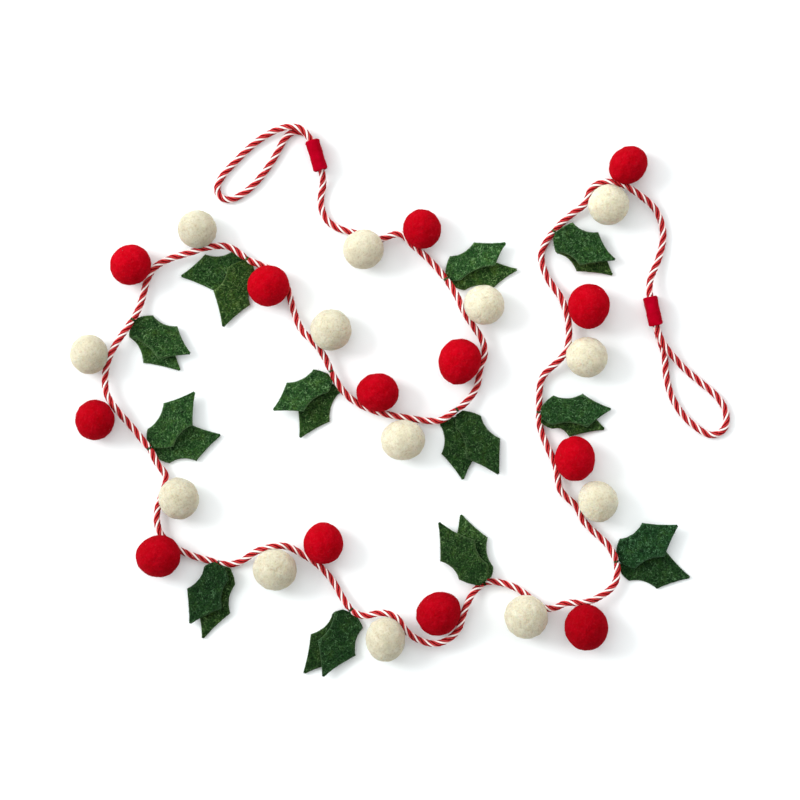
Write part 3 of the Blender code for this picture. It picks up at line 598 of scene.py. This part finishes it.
class Nodes:
    """The nodes of a material or of the world, written one at a time."""

    def __init__(self, owner):
        owner.use_nodes = True
        self.owner = owner
        self.tree = owner.node_tree

    def feed(self, node, inputs):
        """Each input, by name or number, takes its value or the output that feeds it."""
        for key, value in inputs.items():
            if isinstance(value, bpy.types.NodeSocket):
                self.tree.links.new(value, node.inputs[key])
            else:
                node.inputs[key].default_value = value
        return node

    def add(self, kind, settings, inputs):
        """A node of that kind, with its settings and inputs."""
        node = self.tree.nodes.new("ShaderNode" + kind)
        for key, value in settings.items():
            setattr(node, key, value)
        return self.feed(node, inputs)

    def places(self):
        """The piece's own coordinates."""
        return self.add("TexCoord", {}, {}).outputs["Object"]

    def attribute(self, name, output):
        """An output of an attribute of the mesh."""
        return self.add("Attribute", {"attribute_name": name}, {}).outputs[output]

    def ramp(self, value, *stops):
        """A colour ramp through (place, colour) stops."""
        node = self.add("ValToRGB", {}, {0: value})
        while len(node.color_ramp.elements) < len(stops):
            node.color_ramp.elements.new(0.5)
        for element, (place_along, colour) in zip(node.color_ramp.elements, stops):
            element.position = place_along
            element.color = colour
        return node.outputs["Color"]

    def mix(self, share, first, second, blend_type="MIX"):
        """Two colours mixed by a share."""
        settings = {"data_type": "RGBA", "blend_type": blend_type}
        return self.add("Mix", settings, {0: share, 6: first, 7: second}).outputs[2]

    def math(self, operation, first, second=0.0):
        """One number from two, by the operation named."""
        return self.add("Math", {"operation": operation}, {0: first, 1: second}).outputs[0]

    def times(self, first, second):
        """Two numbers multiplied."""
        return self.math("MULTIPLY", first, second)

    def noise(self, vector, scale, detail=1.0, roughness=0.5):
        """Noise with lumps of 1/scale metres, as a number from 0 to 1."""
        inputs = {"Vector": vector, "Scale": scale, "Detail": detail, "Roughness": roughness}
        return self.add("TexNoise", {}, inputs).outputs["Fac"]

    def hairs(self, scale):
        """Fine hairs in several directions: noise drawn out along each, and the brightest kept."""
        field = None
        for step in range(HAIR_DIRECTIONS):
            heading = step * np.pi / HAIR_DIRECTIONS + 0.2
            vector = self.places()
            for change in (
                {"Rotation": (HAIR_TILT * np.sin(2.0 * step), HAIR_TILT * np.cos(1.4 * step), heading)},
                {"Scale": (1.0, HAIR_THINNESS, 1.0)},
            ):
                vector = self.add("Mapping", {}, {"Vector": vector, **change}).outputs["Vector"]
            one = self.noise(vector, scale)
            field = one if field is None else self.math("MAXIMUM", field, one)
        return field

    def finish(self, colour, height, strength, depth, inputs):
        """The shader takes its colour, its relief from a height, and its other inputs."""
        bump = self.add("Bump", {}, {"Height": height, "Strength": strength, "Distance": depth})
        inputs = {"Base Color": colour, "Normal": bump.outputs["Normal"], **inputs}
        self.feed(self.tree.nodes["Principled BSDF"], inputs)
        return self.owner


def blend(first, second, share):
    """A colour between two."""
    return tuple(a + (b - a) * share for a, b in zip(first, second))


def wool_material(name):
    """Wool felt rolled by hand: patches of tone, fibres that catch the light, dark brown spots of
    painted shade in the pits of its grain, a grain of pits as deep as its row gives, a glow some
    millimetres deep and a soft sheen."""
    deep, usual, light, fibre, fibres, pit_shade_share, grain, glow, sheen = WOOLS[name]
    nodes = Nodes(bpy.data.materials.new(name))
    places = nodes.places()
    patches = nodes.noise(places, *WOOL_PATCHES)
    tone = nodes.ramp(patches, (0.30, deep), (0.52, usual), (0.74, light))
    hairs = nodes.hairs(WOOL_HAIRS)
    flecks = nodes.ramp(hairs, (0.62, BLACK), (0.80, WHITE))
    colour = nodes.mix(nodes.times(flecks, fibres), tone, fibre)
    pits = nodes.noise(places, *WOOL_PITS)
    # The lowest spots of the grain are darkened brown: painted shade in the pits, with a brown tint.
    pit_shade_mask = nodes.ramp(pits, (0.34, WHITE), (0.48, BLACK))
    pit_shaded_colour = nodes.mix(1.0, colour, WOOL_PIT_SHADE, "MULTIPLY")
    colour = nodes.mix(nodes.times(pit_shade_mask, pit_shade_share), colour, pit_shaded_colour)
    colour = nodes.mix(1.0, colour, nodes.attribute("dye_and_painted_light", "Color"), "MULTIPLY")
    return nodes.finish(
        colour, nodes.math("ADD", pits, nodes.times(hairs, 0.4)), 1.0, grain,
        {
            "Roughness": 0.9, "Specular IOR Level": 0.02, "Subsurface Weight": glow,
            "Subsurface Scale": 0.018, "Subsurface Radius": (1.0, 0.62, 0.38),
            "Sheen Weight": sheen, "Sheen Roughness": 0.55, "Sheen Tint": fibre,
        },
    )


def leaf_material():
    """Green felt sheet: dark ground with painted shade where its mottle dips, short lighter fibres that
    lie every way, and a lighter cut edge, partly its cut fibres and partly a painted highlight.
    """
    nodes = Nodes(bpy.data.materials.new("green_felt_sheet"))
    places = nodes.places()
    ground = nodes.ramp(nodes.noise(places, *GREEN_PATCHES), *zip((0.28, 0.52, 0.76), GREENS))
    mottle = nodes.ramp(nodes.noise(places, *GREEN_MOTTLE), (0.38, BLACK), (0.60, WHITE))
    # The low spots of the mottle, where the relief dips, are darkened: painted shade in the pits.
    pit_shaded_ground = nodes.mix(mottle, nodes.mix(1.0, ground, GREEN_PIT_SHADE, "MULTIPLY"), ground)
    hairs = nodes.hairs(GREEN_HAIRS)
    flecks = nodes.ramp(hairs, (0.62, BLACK), (0.80, WHITE))
    bright = nodes.ramp(nodes.noise(places, *GREEN_GLINTS), (0.38, DIM), (0.66, WHITE))
    colour = nodes.mix(nodes.times(nodes.times(flecks, bright), 0.85), pit_shaded_ground, GREEN_FIBRE)
    # The cut rim is lightened: partly lighter cut fibres, partly a painted highlight.
    colour = nodes.mix(nodes.times(nodes.attribute("edge", "Fac"), 0.60), colour, GREEN_RIM_AND_HIGHLIGHT)
    # Each piece's tint; on a leaf partly the felt's own colour and partly painted light.
    colour = nodes.mix(1.0, colour, nodes.attribute("dye_and_painted_light", "Color"), "MULTIPLY")
    return nodes.finish(
        colour, nodes.math("ADD", nodes.times(mottle, 0.5), hairs), 0.6, 0.0006,
        {
            "Roughness": 0.92, "Specular IOR Level": 0.04, "Sheen Weight": 0.03, "Sheen Roughness": 0.6,
            "Sheen Tint": GREEN_SHEEN,
        },
    )


def yarn_material(name):
    """A soft yarn with fine slanting plies, painted shade where it dips between its neighbours, a
    painted highlight along the middle of its crest, and fibres that catch the light. Its pattern runs
    along the cord in metres and across each yarn from 0 to 1."""
    valley, crest, fleck, sheen = YARN_FINISHES[name]
    nodes = Nodes(bpy.data.materials.new(name))
    pattern = nodes.add("UVMap", {"uv_map": "UVMap"}, {}).outputs["UV"]
    parts = nodes.add("SeparateXYZ", {}, {"Vector": pattern})
    along, across = parts.outputs["X"], parts.outputs["Y"]
    off_middle = nodes.math("ABSOLUTE", nodes.math("SUBTRACT", across, 0.5))
    # Painted light across each yarn: a painted highlight at the middle of the crest, painted shade
    # towards its dips.
    body = nodes.ramp(
        off_middle, (0.02, blend(crest, fleck, 0.45)), (0.15, crest), (0.31, blend(crest, valley, 0.45)),
        (0.44, valley),
    )
    slant = nodes.math(
        "ADD", nodes.times(along, YARN_PLIES_A_METRE), nodes.times(across, YARN_PLY_SLANT),
    )
    ply = nodes.math("SINE", nodes.times(slant, 2 * np.pi))
    hairs = nodes.hairs(WOOL_HAIRS)
    flecks = nodes.ramp(hairs, (0.66, BLACK), (0.78, WHITE))
    return nodes.finish(
        nodes.mix(nodes.times(flecks, 0.40), body, fleck),
        nodes.math("ADD", nodes.times(ply, 0.35), hairs), 0.5, 0.0003,
        {
            "Roughness": 0.62, "Specular IOR Level": 0.10, "Sheen Weight": sheen,
            "Sheen Roughness": 0.5, "Sheen Tint": fleck,
        },
    )


def floor_material():
    """A plain pale sweep of card with the faintest tooth."""
    nodes = Nodes(bpy.data.materials.new("pale_card"))
    tooth = nodes.noise(nodes.places(), *CARD_TOOTH)
    return nodes.finish(PALE_CARD, tooth, 0.05, 0.0002, {"Roughness": 0.9, "Specular IOR Level": 0.0})


def pulled_by_stitches(line):
    """Share of the cord's radius left at each place: 1, less a bell-shaped dip at each stitch."""
    left = np.ones(len(line))
    for mark in STITCHES:
        off = np.linalg.norm(line - line[nearest_to_mark(line, mark)], axis=1)
        left *= 1 - STITCH_PULL * np.exp(-(off / STITCH_REACH) ** 2)
    return left


def stitch_thread(line, number):
    """Points and faces of the thread that sews leaves on: a close coil drawn tight round the cord."""
    nearest = nearest_to_mark(line, STITCHES[number])
    forward = unit(line[nearest + 1] - line[nearest - 1])
    side, up = cross_axes(forward)
    steps = np.linspace(-0.5, 0.5, STITCH_STEPS_A_TURN * STITCH_TURNS + 1)
    turn = 2 * np.pi * STITCH_TURNS * steps
    coil = CORD_RADIUS * (1 - STITCH_PULL)
    round_it = around(turn, side, up)
    sway = STITCH_SWAY * STITCH_THREAD * np.sin(STITCH_SWAYS * turn + number)
    ahead = steps * STITCH_TURNS * STITCH_SPACING * STITCH_THREAD + sway
    middle = line[nearest] + round_it * coil + forward * ahead[:, None]
    ring = around(spokes(STITCH_SIDES), round_it[:, None], -forward)
    points = (middle[:, None] + STITCH_THREAD * ring).reshape(-1, 3)
    return points, grid_faces(len(steps), STITCH_SIDES), end_faces(len(steps), STITCH_SIDES)


def make_cord(line, materials):
    """The cord: round its middle line, six yarns side by side make the section, each a low arch that
    dips at its borders, and the section turns once in each twist length as a right-handed screw."""
    columns = len(YARNS) * CORD_COLUMNS_A_YARN
    side, up = cross_axes(unit(np.gradient(line, axis=0)))
    along = distance_along(line)
    place_in_yarn = np.arange(columns) / CORD_COLUMNS_A_YARN
    angle = -(along[:, None] / CORD_TWIST_LENGTH + place_in_yarn[None, :] / len(YARNS)) * 2 * np.pi
    from_middle = np.abs((place_in_yarn % 1.0) - 0.5) * 2
    arch = 1 - YARN_VALLEY * from_middle**YARN_ARCH_POWER
    ring = around(angle, side[:, None], up[:, None])
    radius = CORD_RADIUS * pulled_by_stitches(line)[:, None] * arch[None, :]
    rings = line[:, None] + radius[..., None] * ring
    rings += ring * unevenness(rings, "cord")[..., None]
    bare = CORD_BARE_RINGS * columns
    chosen = fibre_roots("cord", 0, bare, columns * len(line) - bare)
    points, groups = with_fibres(
        "cord", 0, rings.reshape(-1, 3), grid_faces(len(line), columns),
        [end_faces(len(line), columns)], chosen, ring.reshape(-1, 3)[chosen],
    )
    white = np.array([kind == "white" for kind in YARNS], int)
    in_white = white[(chosen % columns) // CORD_COLUMNS_A_YARN]
    fibre_slots = [np.repeat(in_white, len(group) // len(chosen)) for group in groups[1::2]]
    own_slots = np.tile(np.repeat(white, CORD_COLUMNS_A_YARN), len(line) - 1)
    slots = np.concatenate([own_slots, fibre_slots[0], [0, 0], fibre_slots[1]])
    across = np.tile((np.arange(columns) % CORD_COLUMNS_A_YARN) / CORD_COLUMNS_A_YARN, len(line) - 1)
    next_across = across + 1 / CORD_COLUMNS_A_YARN
    near, far = np.repeat(along[:-1], columns), np.repeat(along[1:], columns)
    corners = np.array([[near, across], [near, next_across], [far, next_across], [far, across]])
    uv = corners.transpose(2, 0, 1).reshape(-1, 2)
    rest = np.full((sum(group.size for group in groups[1:]), 2), 0.5)
    piece = make_piece("garland_cord", points, groups, materials, slots, np.vstack([uv, rest]))
    place(piece, "cord")
    return piece


def pressed_by_cord(points, middle, line):
    """The points of a ball, pressed in where the cord lies against it: each point that the cord would
    reach is moved away, half the way from the cord's middle line and half towards the ball's middle."""
    near = line[np.linalg.norm(line - middle, axis=1) < BALL_REACH]
    rows = np.arange(len(points))
    for _ in range(BALL_PRESSES):
        apart = points[:, None] - near[None]
        distance = np.linalg.norm(apart, axis=2)
        closest = distance.argmin(axis=1)
        short = CORD_RADIUS + BALL_TOUCH - distance[rows, closest]
        away = 0.5 * unit(apart[rows, closest]) + 0.5 * unit(middle - points)
        points = points + np.maximum(short, 0.0)[:, None] * away
    return points


def make_ball(colour, number, row, phase, material, line):
    """A felted ball: a slightly uneven oval with a small flat spot underneath, lumps of 6 mm and 2 mm
    and loose wool, pressed in where the cord passes."""
    ball = dict(zip(BALL_TABLE, row))
    across, away = on_board(ball["x"], ball["y"])
    long, short = ball["long"] * MILLIMETRE, ball["short"] * MILLIMETRE
    height = (long + short) / 2
    middle = np.array([across, away, np.sqrt(height**2 - BALL_FLAT_RADIUS**2)])
    first = np.arcsin(BALL_FLAT_RADIUS / height)
    polar = np.linspace(first, np.pi, BALL_ROWS + 1)[:-1, None]
    round_about = np.linspace(0.0, 2 * np.pi, BALL_COLUMNS, endpoint=False)[None, :]
    waves = np.sin(BALL_WAVES * round_about + phase) * np.sin(2 * polar)
    waves = waves + np.cos(2 * round_about - 2 * phase)
    swell = 1 + BALL_UNEVENNESS * waves * np.sin(polar) ** 2
    along_long = np.cos(round_about) * np.sin(polar) * swell
    along_short = np.sin(round_about) * np.sin(polar) * swell * (1 + ball["narrowing"] * -along_long)
    turn = np.radians(ball["turn"])
    x = long * along_long * np.cos(turn) - short * along_short * np.sin(turn)
    y = long * along_long * np.sin(turn) + short * along_short * np.cos(turn)
    z = -height * np.cos(polar) + 0 * x
    rings = np.stack([x, y, z], -1)
    seed = int(2 * phase)
    free = np.clip((polar - first) * BALL_LUMPS_RISE, 0.0, 1.0)[..., None]
    rings = rings * (1 + free * unevenness(rings, "ball", seed)[..., None] / height)
    points = np.vstack([rings.reshape(-1, 3), [[0.0, 0.0, height]], [[0.0, 0.0, -middle[2]]]]) + middle
    points[:, 2] = np.maximum(points[:, 2], 0.0)
    points = pressed_by_cord(points, middle, line)
    points[:, 2] = np.maximum(points[:, 2], 0.0)
    ring, count = np.arange(BALL_COLUMNS), BALL_ROWS * BALL_COLUMNS
    top = fan(ring + count - BALL_COLUMNS, count)
    bottom = fan(ring, count + 1)[:, ::-1]
    chosen = fibre_roots("ball", seed, BALL_COLUMNS * BALL_BARE_RINGS, count)
    points, groups = with_fibres(
        "ball", seed, points, grid_faces(BALL_ROWS, BALL_COLUMNS), [top, bottom], chosen,
        points[chosen] - middle,
    )
    name = f"{colour}_felt_ball_{number:02d}"
    piece = make_piece(name, points, groups, (material,), dye_and_painted_light=(ball["tone"],) * 3)
    place(piece, f"ball_{colour}_{number:02d}")
    return piece


def leaf_edge(cut, side, rows):
    """One edge of a leaf at those rows: shares of the length, and distances from the middle line in
    metres. It runs from corner to corner and bows between them."""
    along = np.array([0.0, cut[side + "_shoulder"], cut[side + "_point"], 1.0])
    outs = (cut["base_out"], cut[side + "_shoulder_out"], cut[side + "_point_out"], LEAF_TIP_OUT)
    out = np.array(outs)
    span = np.minimum(rows.astype(int), 2)
    share = rows - span
    bows = np.array([*LEAF_BOWS, cut[side + "_tip_bow"]])
    bow = bows[span] * 4 * share * (1 - share)
    edge_along = along[span] + share * (along[span + 1] - along[span])
    edge_out = out[span] + share * (out[span + 1] - out[span]) + bow
    return edge_along, edge_out * MILLIMETRE


def leaf_tint_with_painted_light(tone, warm):
    """A tint's shares of red, green and blue: the tone, on a leaf partly the felt's own colour and
    partly painted light, with red raised and blue lowered by warmth.
    """
    return tone * (1 + warm), tone, tone * (1 - warm)


def make_leaf(number, layer, material, thread=None):
    """A holly leaf cut from felt sheet. Rows run from base to tip, each a flat ring: over the top, round
    the rim and back underneath. The sheet bends lengthwise through its three heights, leans to one
    side, is hollow across and slightly wavy. thread holds the points and faces of its stitches."""
    leaf = dict(zip(LEAF_TABLE, LEAF_PAIRS[number - 1][layer]))
    cut = dict(zip(LEAF_CUT_TABLE, LEAF_CUTS[number - 1][layer]))
    piece_end, node_end, first_seed = LEAF_LAYERS[layer]
    seed = number + first_seed
    base = np.array(on_board(leaf["base_x"], leaf["base_y"]))
    ahead = np.array(on_board(leaf["tip_x"], leaf["tip_y"])) - base
    left = np.array([-ahead[1], ahead[0]]) / np.linalg.norm(ahead)
    places = np.linspace(0.0, 3.0, 3 * LEAF_ROWS_A_SPAN + 1)
    left_along, left_out = leaf_edge(cut, "left", places)
    right_along, right_out = leaf_edge(cut, "right", places)
    width = left_out + right_out
    inset = 1 - np.minimum(2 * LEAF_RIM / width, LEAF_RIM_SHARE)
    flat = np.linspace(-1.0, 1.0, LEAF_COLUMNS)[None, :] * inset[:, None]
    ends = np.ones((len(places), 1))
    across = np.hstack([-flat, -ends, flat, ends])
    raised = np.hstack([0 * flat + 0.5, 0 * ends, 0 * flat - 0.5, 0 * ends])
    to_left = (1 + across) / 2
    along = right_along[:, None] * (1 - to_left) + left_along[:, None] * to_left
    out = -right_out[:, None] * (1 - to_left) + left_out[:, None] * to_left
    heights = np.array([leaf["base_up"], leaf["middle_up"], leaf["tip_up"]]) * MILLIMETRE
    bend = np.polyfit([0.0, 0.5, 1.0], heights, 2)
    plan = base + along[..., None] * ahead + out[..., None] * left
    up = np.polyval(bend, along) + out * np.tan(np.radians(leaf["lift"]))
    sharpness = LEAF_FOLD_POWER if leaf["hollow"] > LEAF_FOLDED_FROM else LEAF_HOLLOW_POWER
    valley = np.abs(across) ** sharpness - 0.5
    up = up + leaf["hollow"] * MILLIMETRE * valley * width[:, None] / (2 * LEAF_USUAL_OUT)
    flat_places = np.concatenate([plan, 0 * plan[..., :1]], -1)
    wave = LEAF_WAVE["base"] + LEAF_WAVE["more_at_tip"] * np.clip(along, 0.0, 1.0)
    wave = wave * lumps(flat_places, LEAF_WAVE["size"], LEAF_WAVE["seed"] + seed)
    nap = unevenness(flat_places + raised[..., None] * LEAF_NAP_SHIFT, "leaf_nap", seed)
    up = up + wave + raised * (LEAF_FELT + nap)
    ragged = unevenness(flat_places, "leaf_cut", seed) * np.abs(across) ** LEAF_CUT_POWER
    plan = plan + ragged[..., None] * np.sign(across)[..., None] * left
    rings = np.concatenate([plan, up[..., None]], -1)
    rings[..., 2] = np.maximum(rings[..., 2], LEAF_LOWEST)
    rows, columns = rings.shape[:2]
    rng = np.random.default_rng(FIBRES["leaf"]["root_seed"] + seed)
    half = FIBRES["leaf"]["count"] // 2
    anywhere = rng.integers(0, rows * columns, half)
    at_rim = rng.integers(0, rows, half) * columns
    at_rim = at_rim + np.where(rng.random(len(at_rim)) < 0.5, LEAF_COLUMNS, columns - 1)
    chosen = np.concatenate([anywhere, at_rim])
    sideways = np.append(left, 0.0)[None] * np.sign(across.reshape(-1)[chosen])[:, None]
    chosen_raised = raised.reshape(-1)[chosen, None]
    outward = UP[None] * np.sign(chosen_raised) + sideways * (chosen_raised == 0)
    points, groups = with_fibres(
        "leaf", seed, rings.reshape(-1, 3), grid_faces(rows, columns), [end_faces(rows, columns)],
        chosen, outward,
    )
    if thread is not None:
        groups += [faces + len(points) for faces in thread[1:]]
        points = np.vstack([points, thread[0]])
    edge = np.zeros(len(points))
    edge[:across.size] = (np.abs(across) ** LEAF_EDGE_POWER).reshape(-1)
    # The leaf's tint: partly the felt's own colour and partly painted light, brighter towards the far
    # side.
    dye_and_painted_light = leaf_tint_with_painted_light(leaf["tone"], leaf["warm"])
    name = f"holly_leaf_{number:02d}_{piece_end}"
    piece = make_piece(name, points, groups, (material,), edge=edge, dye_and_painted_light=dye_and_painted_light)
    place(piece, f"leaf_{number:02d}_{node_end}")
    return piece


def squarish(shares):
    """The sine or cosine of a squarish oval: the power of each share, with its sign."""
    return np.sign(shares) * np.abs(shares) ** SLEEVE_SQUARENESS


def make_sleeve(name, node, ends, seed, material):
    """A sleeve: a strip of felt wrapped round the two runs of cord, as an upright squarish oval open at
    both ends, one edge lapped over the other, with lips that stand out a little and slight creases."""
    first, last = (np.array([*on_board(x, y), 0.0]) for x, y in ends)
    forward = unit(last - first)
    side = np.array([-forward[1], forward[0], 0.0])
    middle_up = (SLEEVE_TOP + SLEEVE_BOTTOM) / 2
    outer_up = (SLEEVE_TOP - SLEEVE_BOTTOM) / 2
    angle = np.linspace(0.0, 2 * np.pi, SLEEVE_COLUMNS, endpoint=False)[None, :]
    cosine, sine = squarish(np.cos(angle)), squarish(np.sin(angle))
    rows = np.linspace(0.0, 1.0, SLEEVE_ROWS)[:, None]
    waist = np.interp(rows, *np.array(SLEEVE_WAIST).T)
    lip = 1 + SLEEVE_LIP * (np.exp(-rows * SLEEVE_LIP_FALL) + np.exp((rows - 1) * SLEEVE_LIP_FALL))
    lap_in = np.clip((angle - SLEEVE_LAP["start"]) * SLEEVE_LAP["rise"], 0.0, 1.0)
    lap_out = np.clip((SLEEVE_LAP["end"] - angle) * SLEEVE_LAP["fall"], 0.0, 1.0)

    def wall(inset):
        """Rings of the strip's outside drawn in by the inset."""
        across = (SLEEVE_HALF_WIDTH * waist * lip - inset) * cosine
        up = (outer_up * np.minimum(lip, 1.0) - inset) * sine + middle_up
        back = SLEEVE_RIM_BACK * (1 - 2 * rows) * np.abs(np.cos(angle)) ** SLEEVE_RIM_POWER
        centre = first + (last - first) * rows[..., None] + back[..., None] * forward
        return centre + across[..., None] * side + up[..., None] * UP

    outside, inside = wall(-(SLEEVE_LAP["step"] * lap_in * lap_out)), wall(SLEEVE_FELT)
    away = cosine[..., None] * side + sine[..., None] * UP
    outside = outside + unevenness(outside, "sleeve", seed)[..., None] * away
    outside[..., 2] = np.clip(outside[..., 2], SLEEVE_BOTTOM, None)
    rings = np.concatenate([outside, inside[::-1]])
    chosen = fibre_roots("sleeve", seed, 0, SLEEVE_ROWS * SLEEVE_COLUMNS)
    normals = np.broadcast_to(away, outside.shape).reshape(-1, 3)
    points, groups = with_fibres(
        "sleeve", seed, rings.reshape(-1, 3), grid_faces(len(rings), SLEEVE_COLUMNS, end_to_end=True),
        [], chosen, normals[chosen],
    )
    piece = make_piece(name, points, groups, (material,), dye_and_painted_light=(1.0, 1.0, 1.0))
    place(piece, node)
    return piece


def make_floor():
    """The pale sweep that the garland lies on."""
    half = FLOOR_SIDE / 2
    corners = np.array([[-half, -half, 0.0], [half, -half, 0.0], [half, half, 0.0], [-half, half, 0.0]])
    floor = make_piece("floor", corners, [np.array([[0, 1, 2, 3]])], (floor_material(),))


def stand(data, location):
    """A camera or a lamp at its place."""
    thing = bpy.data.objects.new(data.name, data)
    thing.location = location
    bpy.context.scene.collection.objects.link(thing)
    return thing


def make_camera():
    """The camera looks straight down from far off, its frame as wide as the photograph's marks."""
    data = bpy.data.cameras.new("camera")
    data.sensor_width = SENSOR
    data.lens = SENSOR * (CAMERA_HEIGHT - PICTURE_HEIGHT) / (PICTURE_SIDE * MARK)
    data.clip_end = 2 * CAMERA_HEIGHT + FLOOR_SIDE
    across, away = on_board(PICTURE_SIDE / 2, PICTURE_SIDE / 2)
    bpy.context.scene.camera = stand(data, (across, away, CAMERA_HEIGHT))


def make_light():
    """Light all round that grows towards the far left, and a broad lamp there that faces the middle."""
    world = bpy.data.worlds.new("studio")
    nodes = Nodes(world)
    toward = nodes.add("TexCoord", {}, {}).outputs["Generated"]
    lean = nodes.add("VectorMath", {"operation": "DOT_PRODUCT"}, {0: toward, 1: WORLD_LEAN})
    terms = {0: lean.outputs["Value"], 1: WORLD_STRENGTH, 2: WORLD_STRENGTH}
    strength = nodes.add("Math", {"operation": "MULTIPLY_ADD"}, terms).outputs["Value"]
    nodes.feed(nodes.tree.nodes["Background"], {"Color": WHITE, "Strength": strength})
    bpy.context.scene.world = world
    data = bpy.data.lights.new("window", "AREA")
    data.shape = "SQUARE"
    data.size = LAMP_SIDE
    data.energy = LAMP_POWER
    lamp = stand(data, LAMP_PLACE)
    lamp.rotation_mode = "QUATERNION"
    lamp.rotation_quaternion = (-Vector(LAMP_PLACE)).to_track_quat("-Z", "Y")
    bpy.context.scene.view_settings.view_transform = "Standard"


def build():
    """Camera and cord first, then what is sewn on the cord, then floor and light."""
    make_camera()
    line = cord_middle_line(CORD_STEP)
    cord = make_cord(line, [yarn_material(name) for name in YARN_FINISHES])
    red, strip, cream = (wool_material(name) for name in WOOLS)
    green = leaf_material()
    for number, (name, ends) in enumerate(SLEEVES.items()):
        make_sleeve("loop_" + name, name, ends, SLEEVE_SEED + number, strip)
    kinds = (("red", RED_BALLS, 0, red), ("cream", CREAM_BALLS, 0.5, cream))
    for colour, balls, phase, material in kinds:
        for number, row in enumerate(balls, start=1):
            make_ball(colour, number, row, number + phase, material, line)
    for number in range(1, len(LEAF_PAIRS) + 1):
        under = make_leaf(number, 0, green)
        make_leaf(number, 1, green, stitch_thread(line, number - 1))
    make_floor()
    make_light()


build()
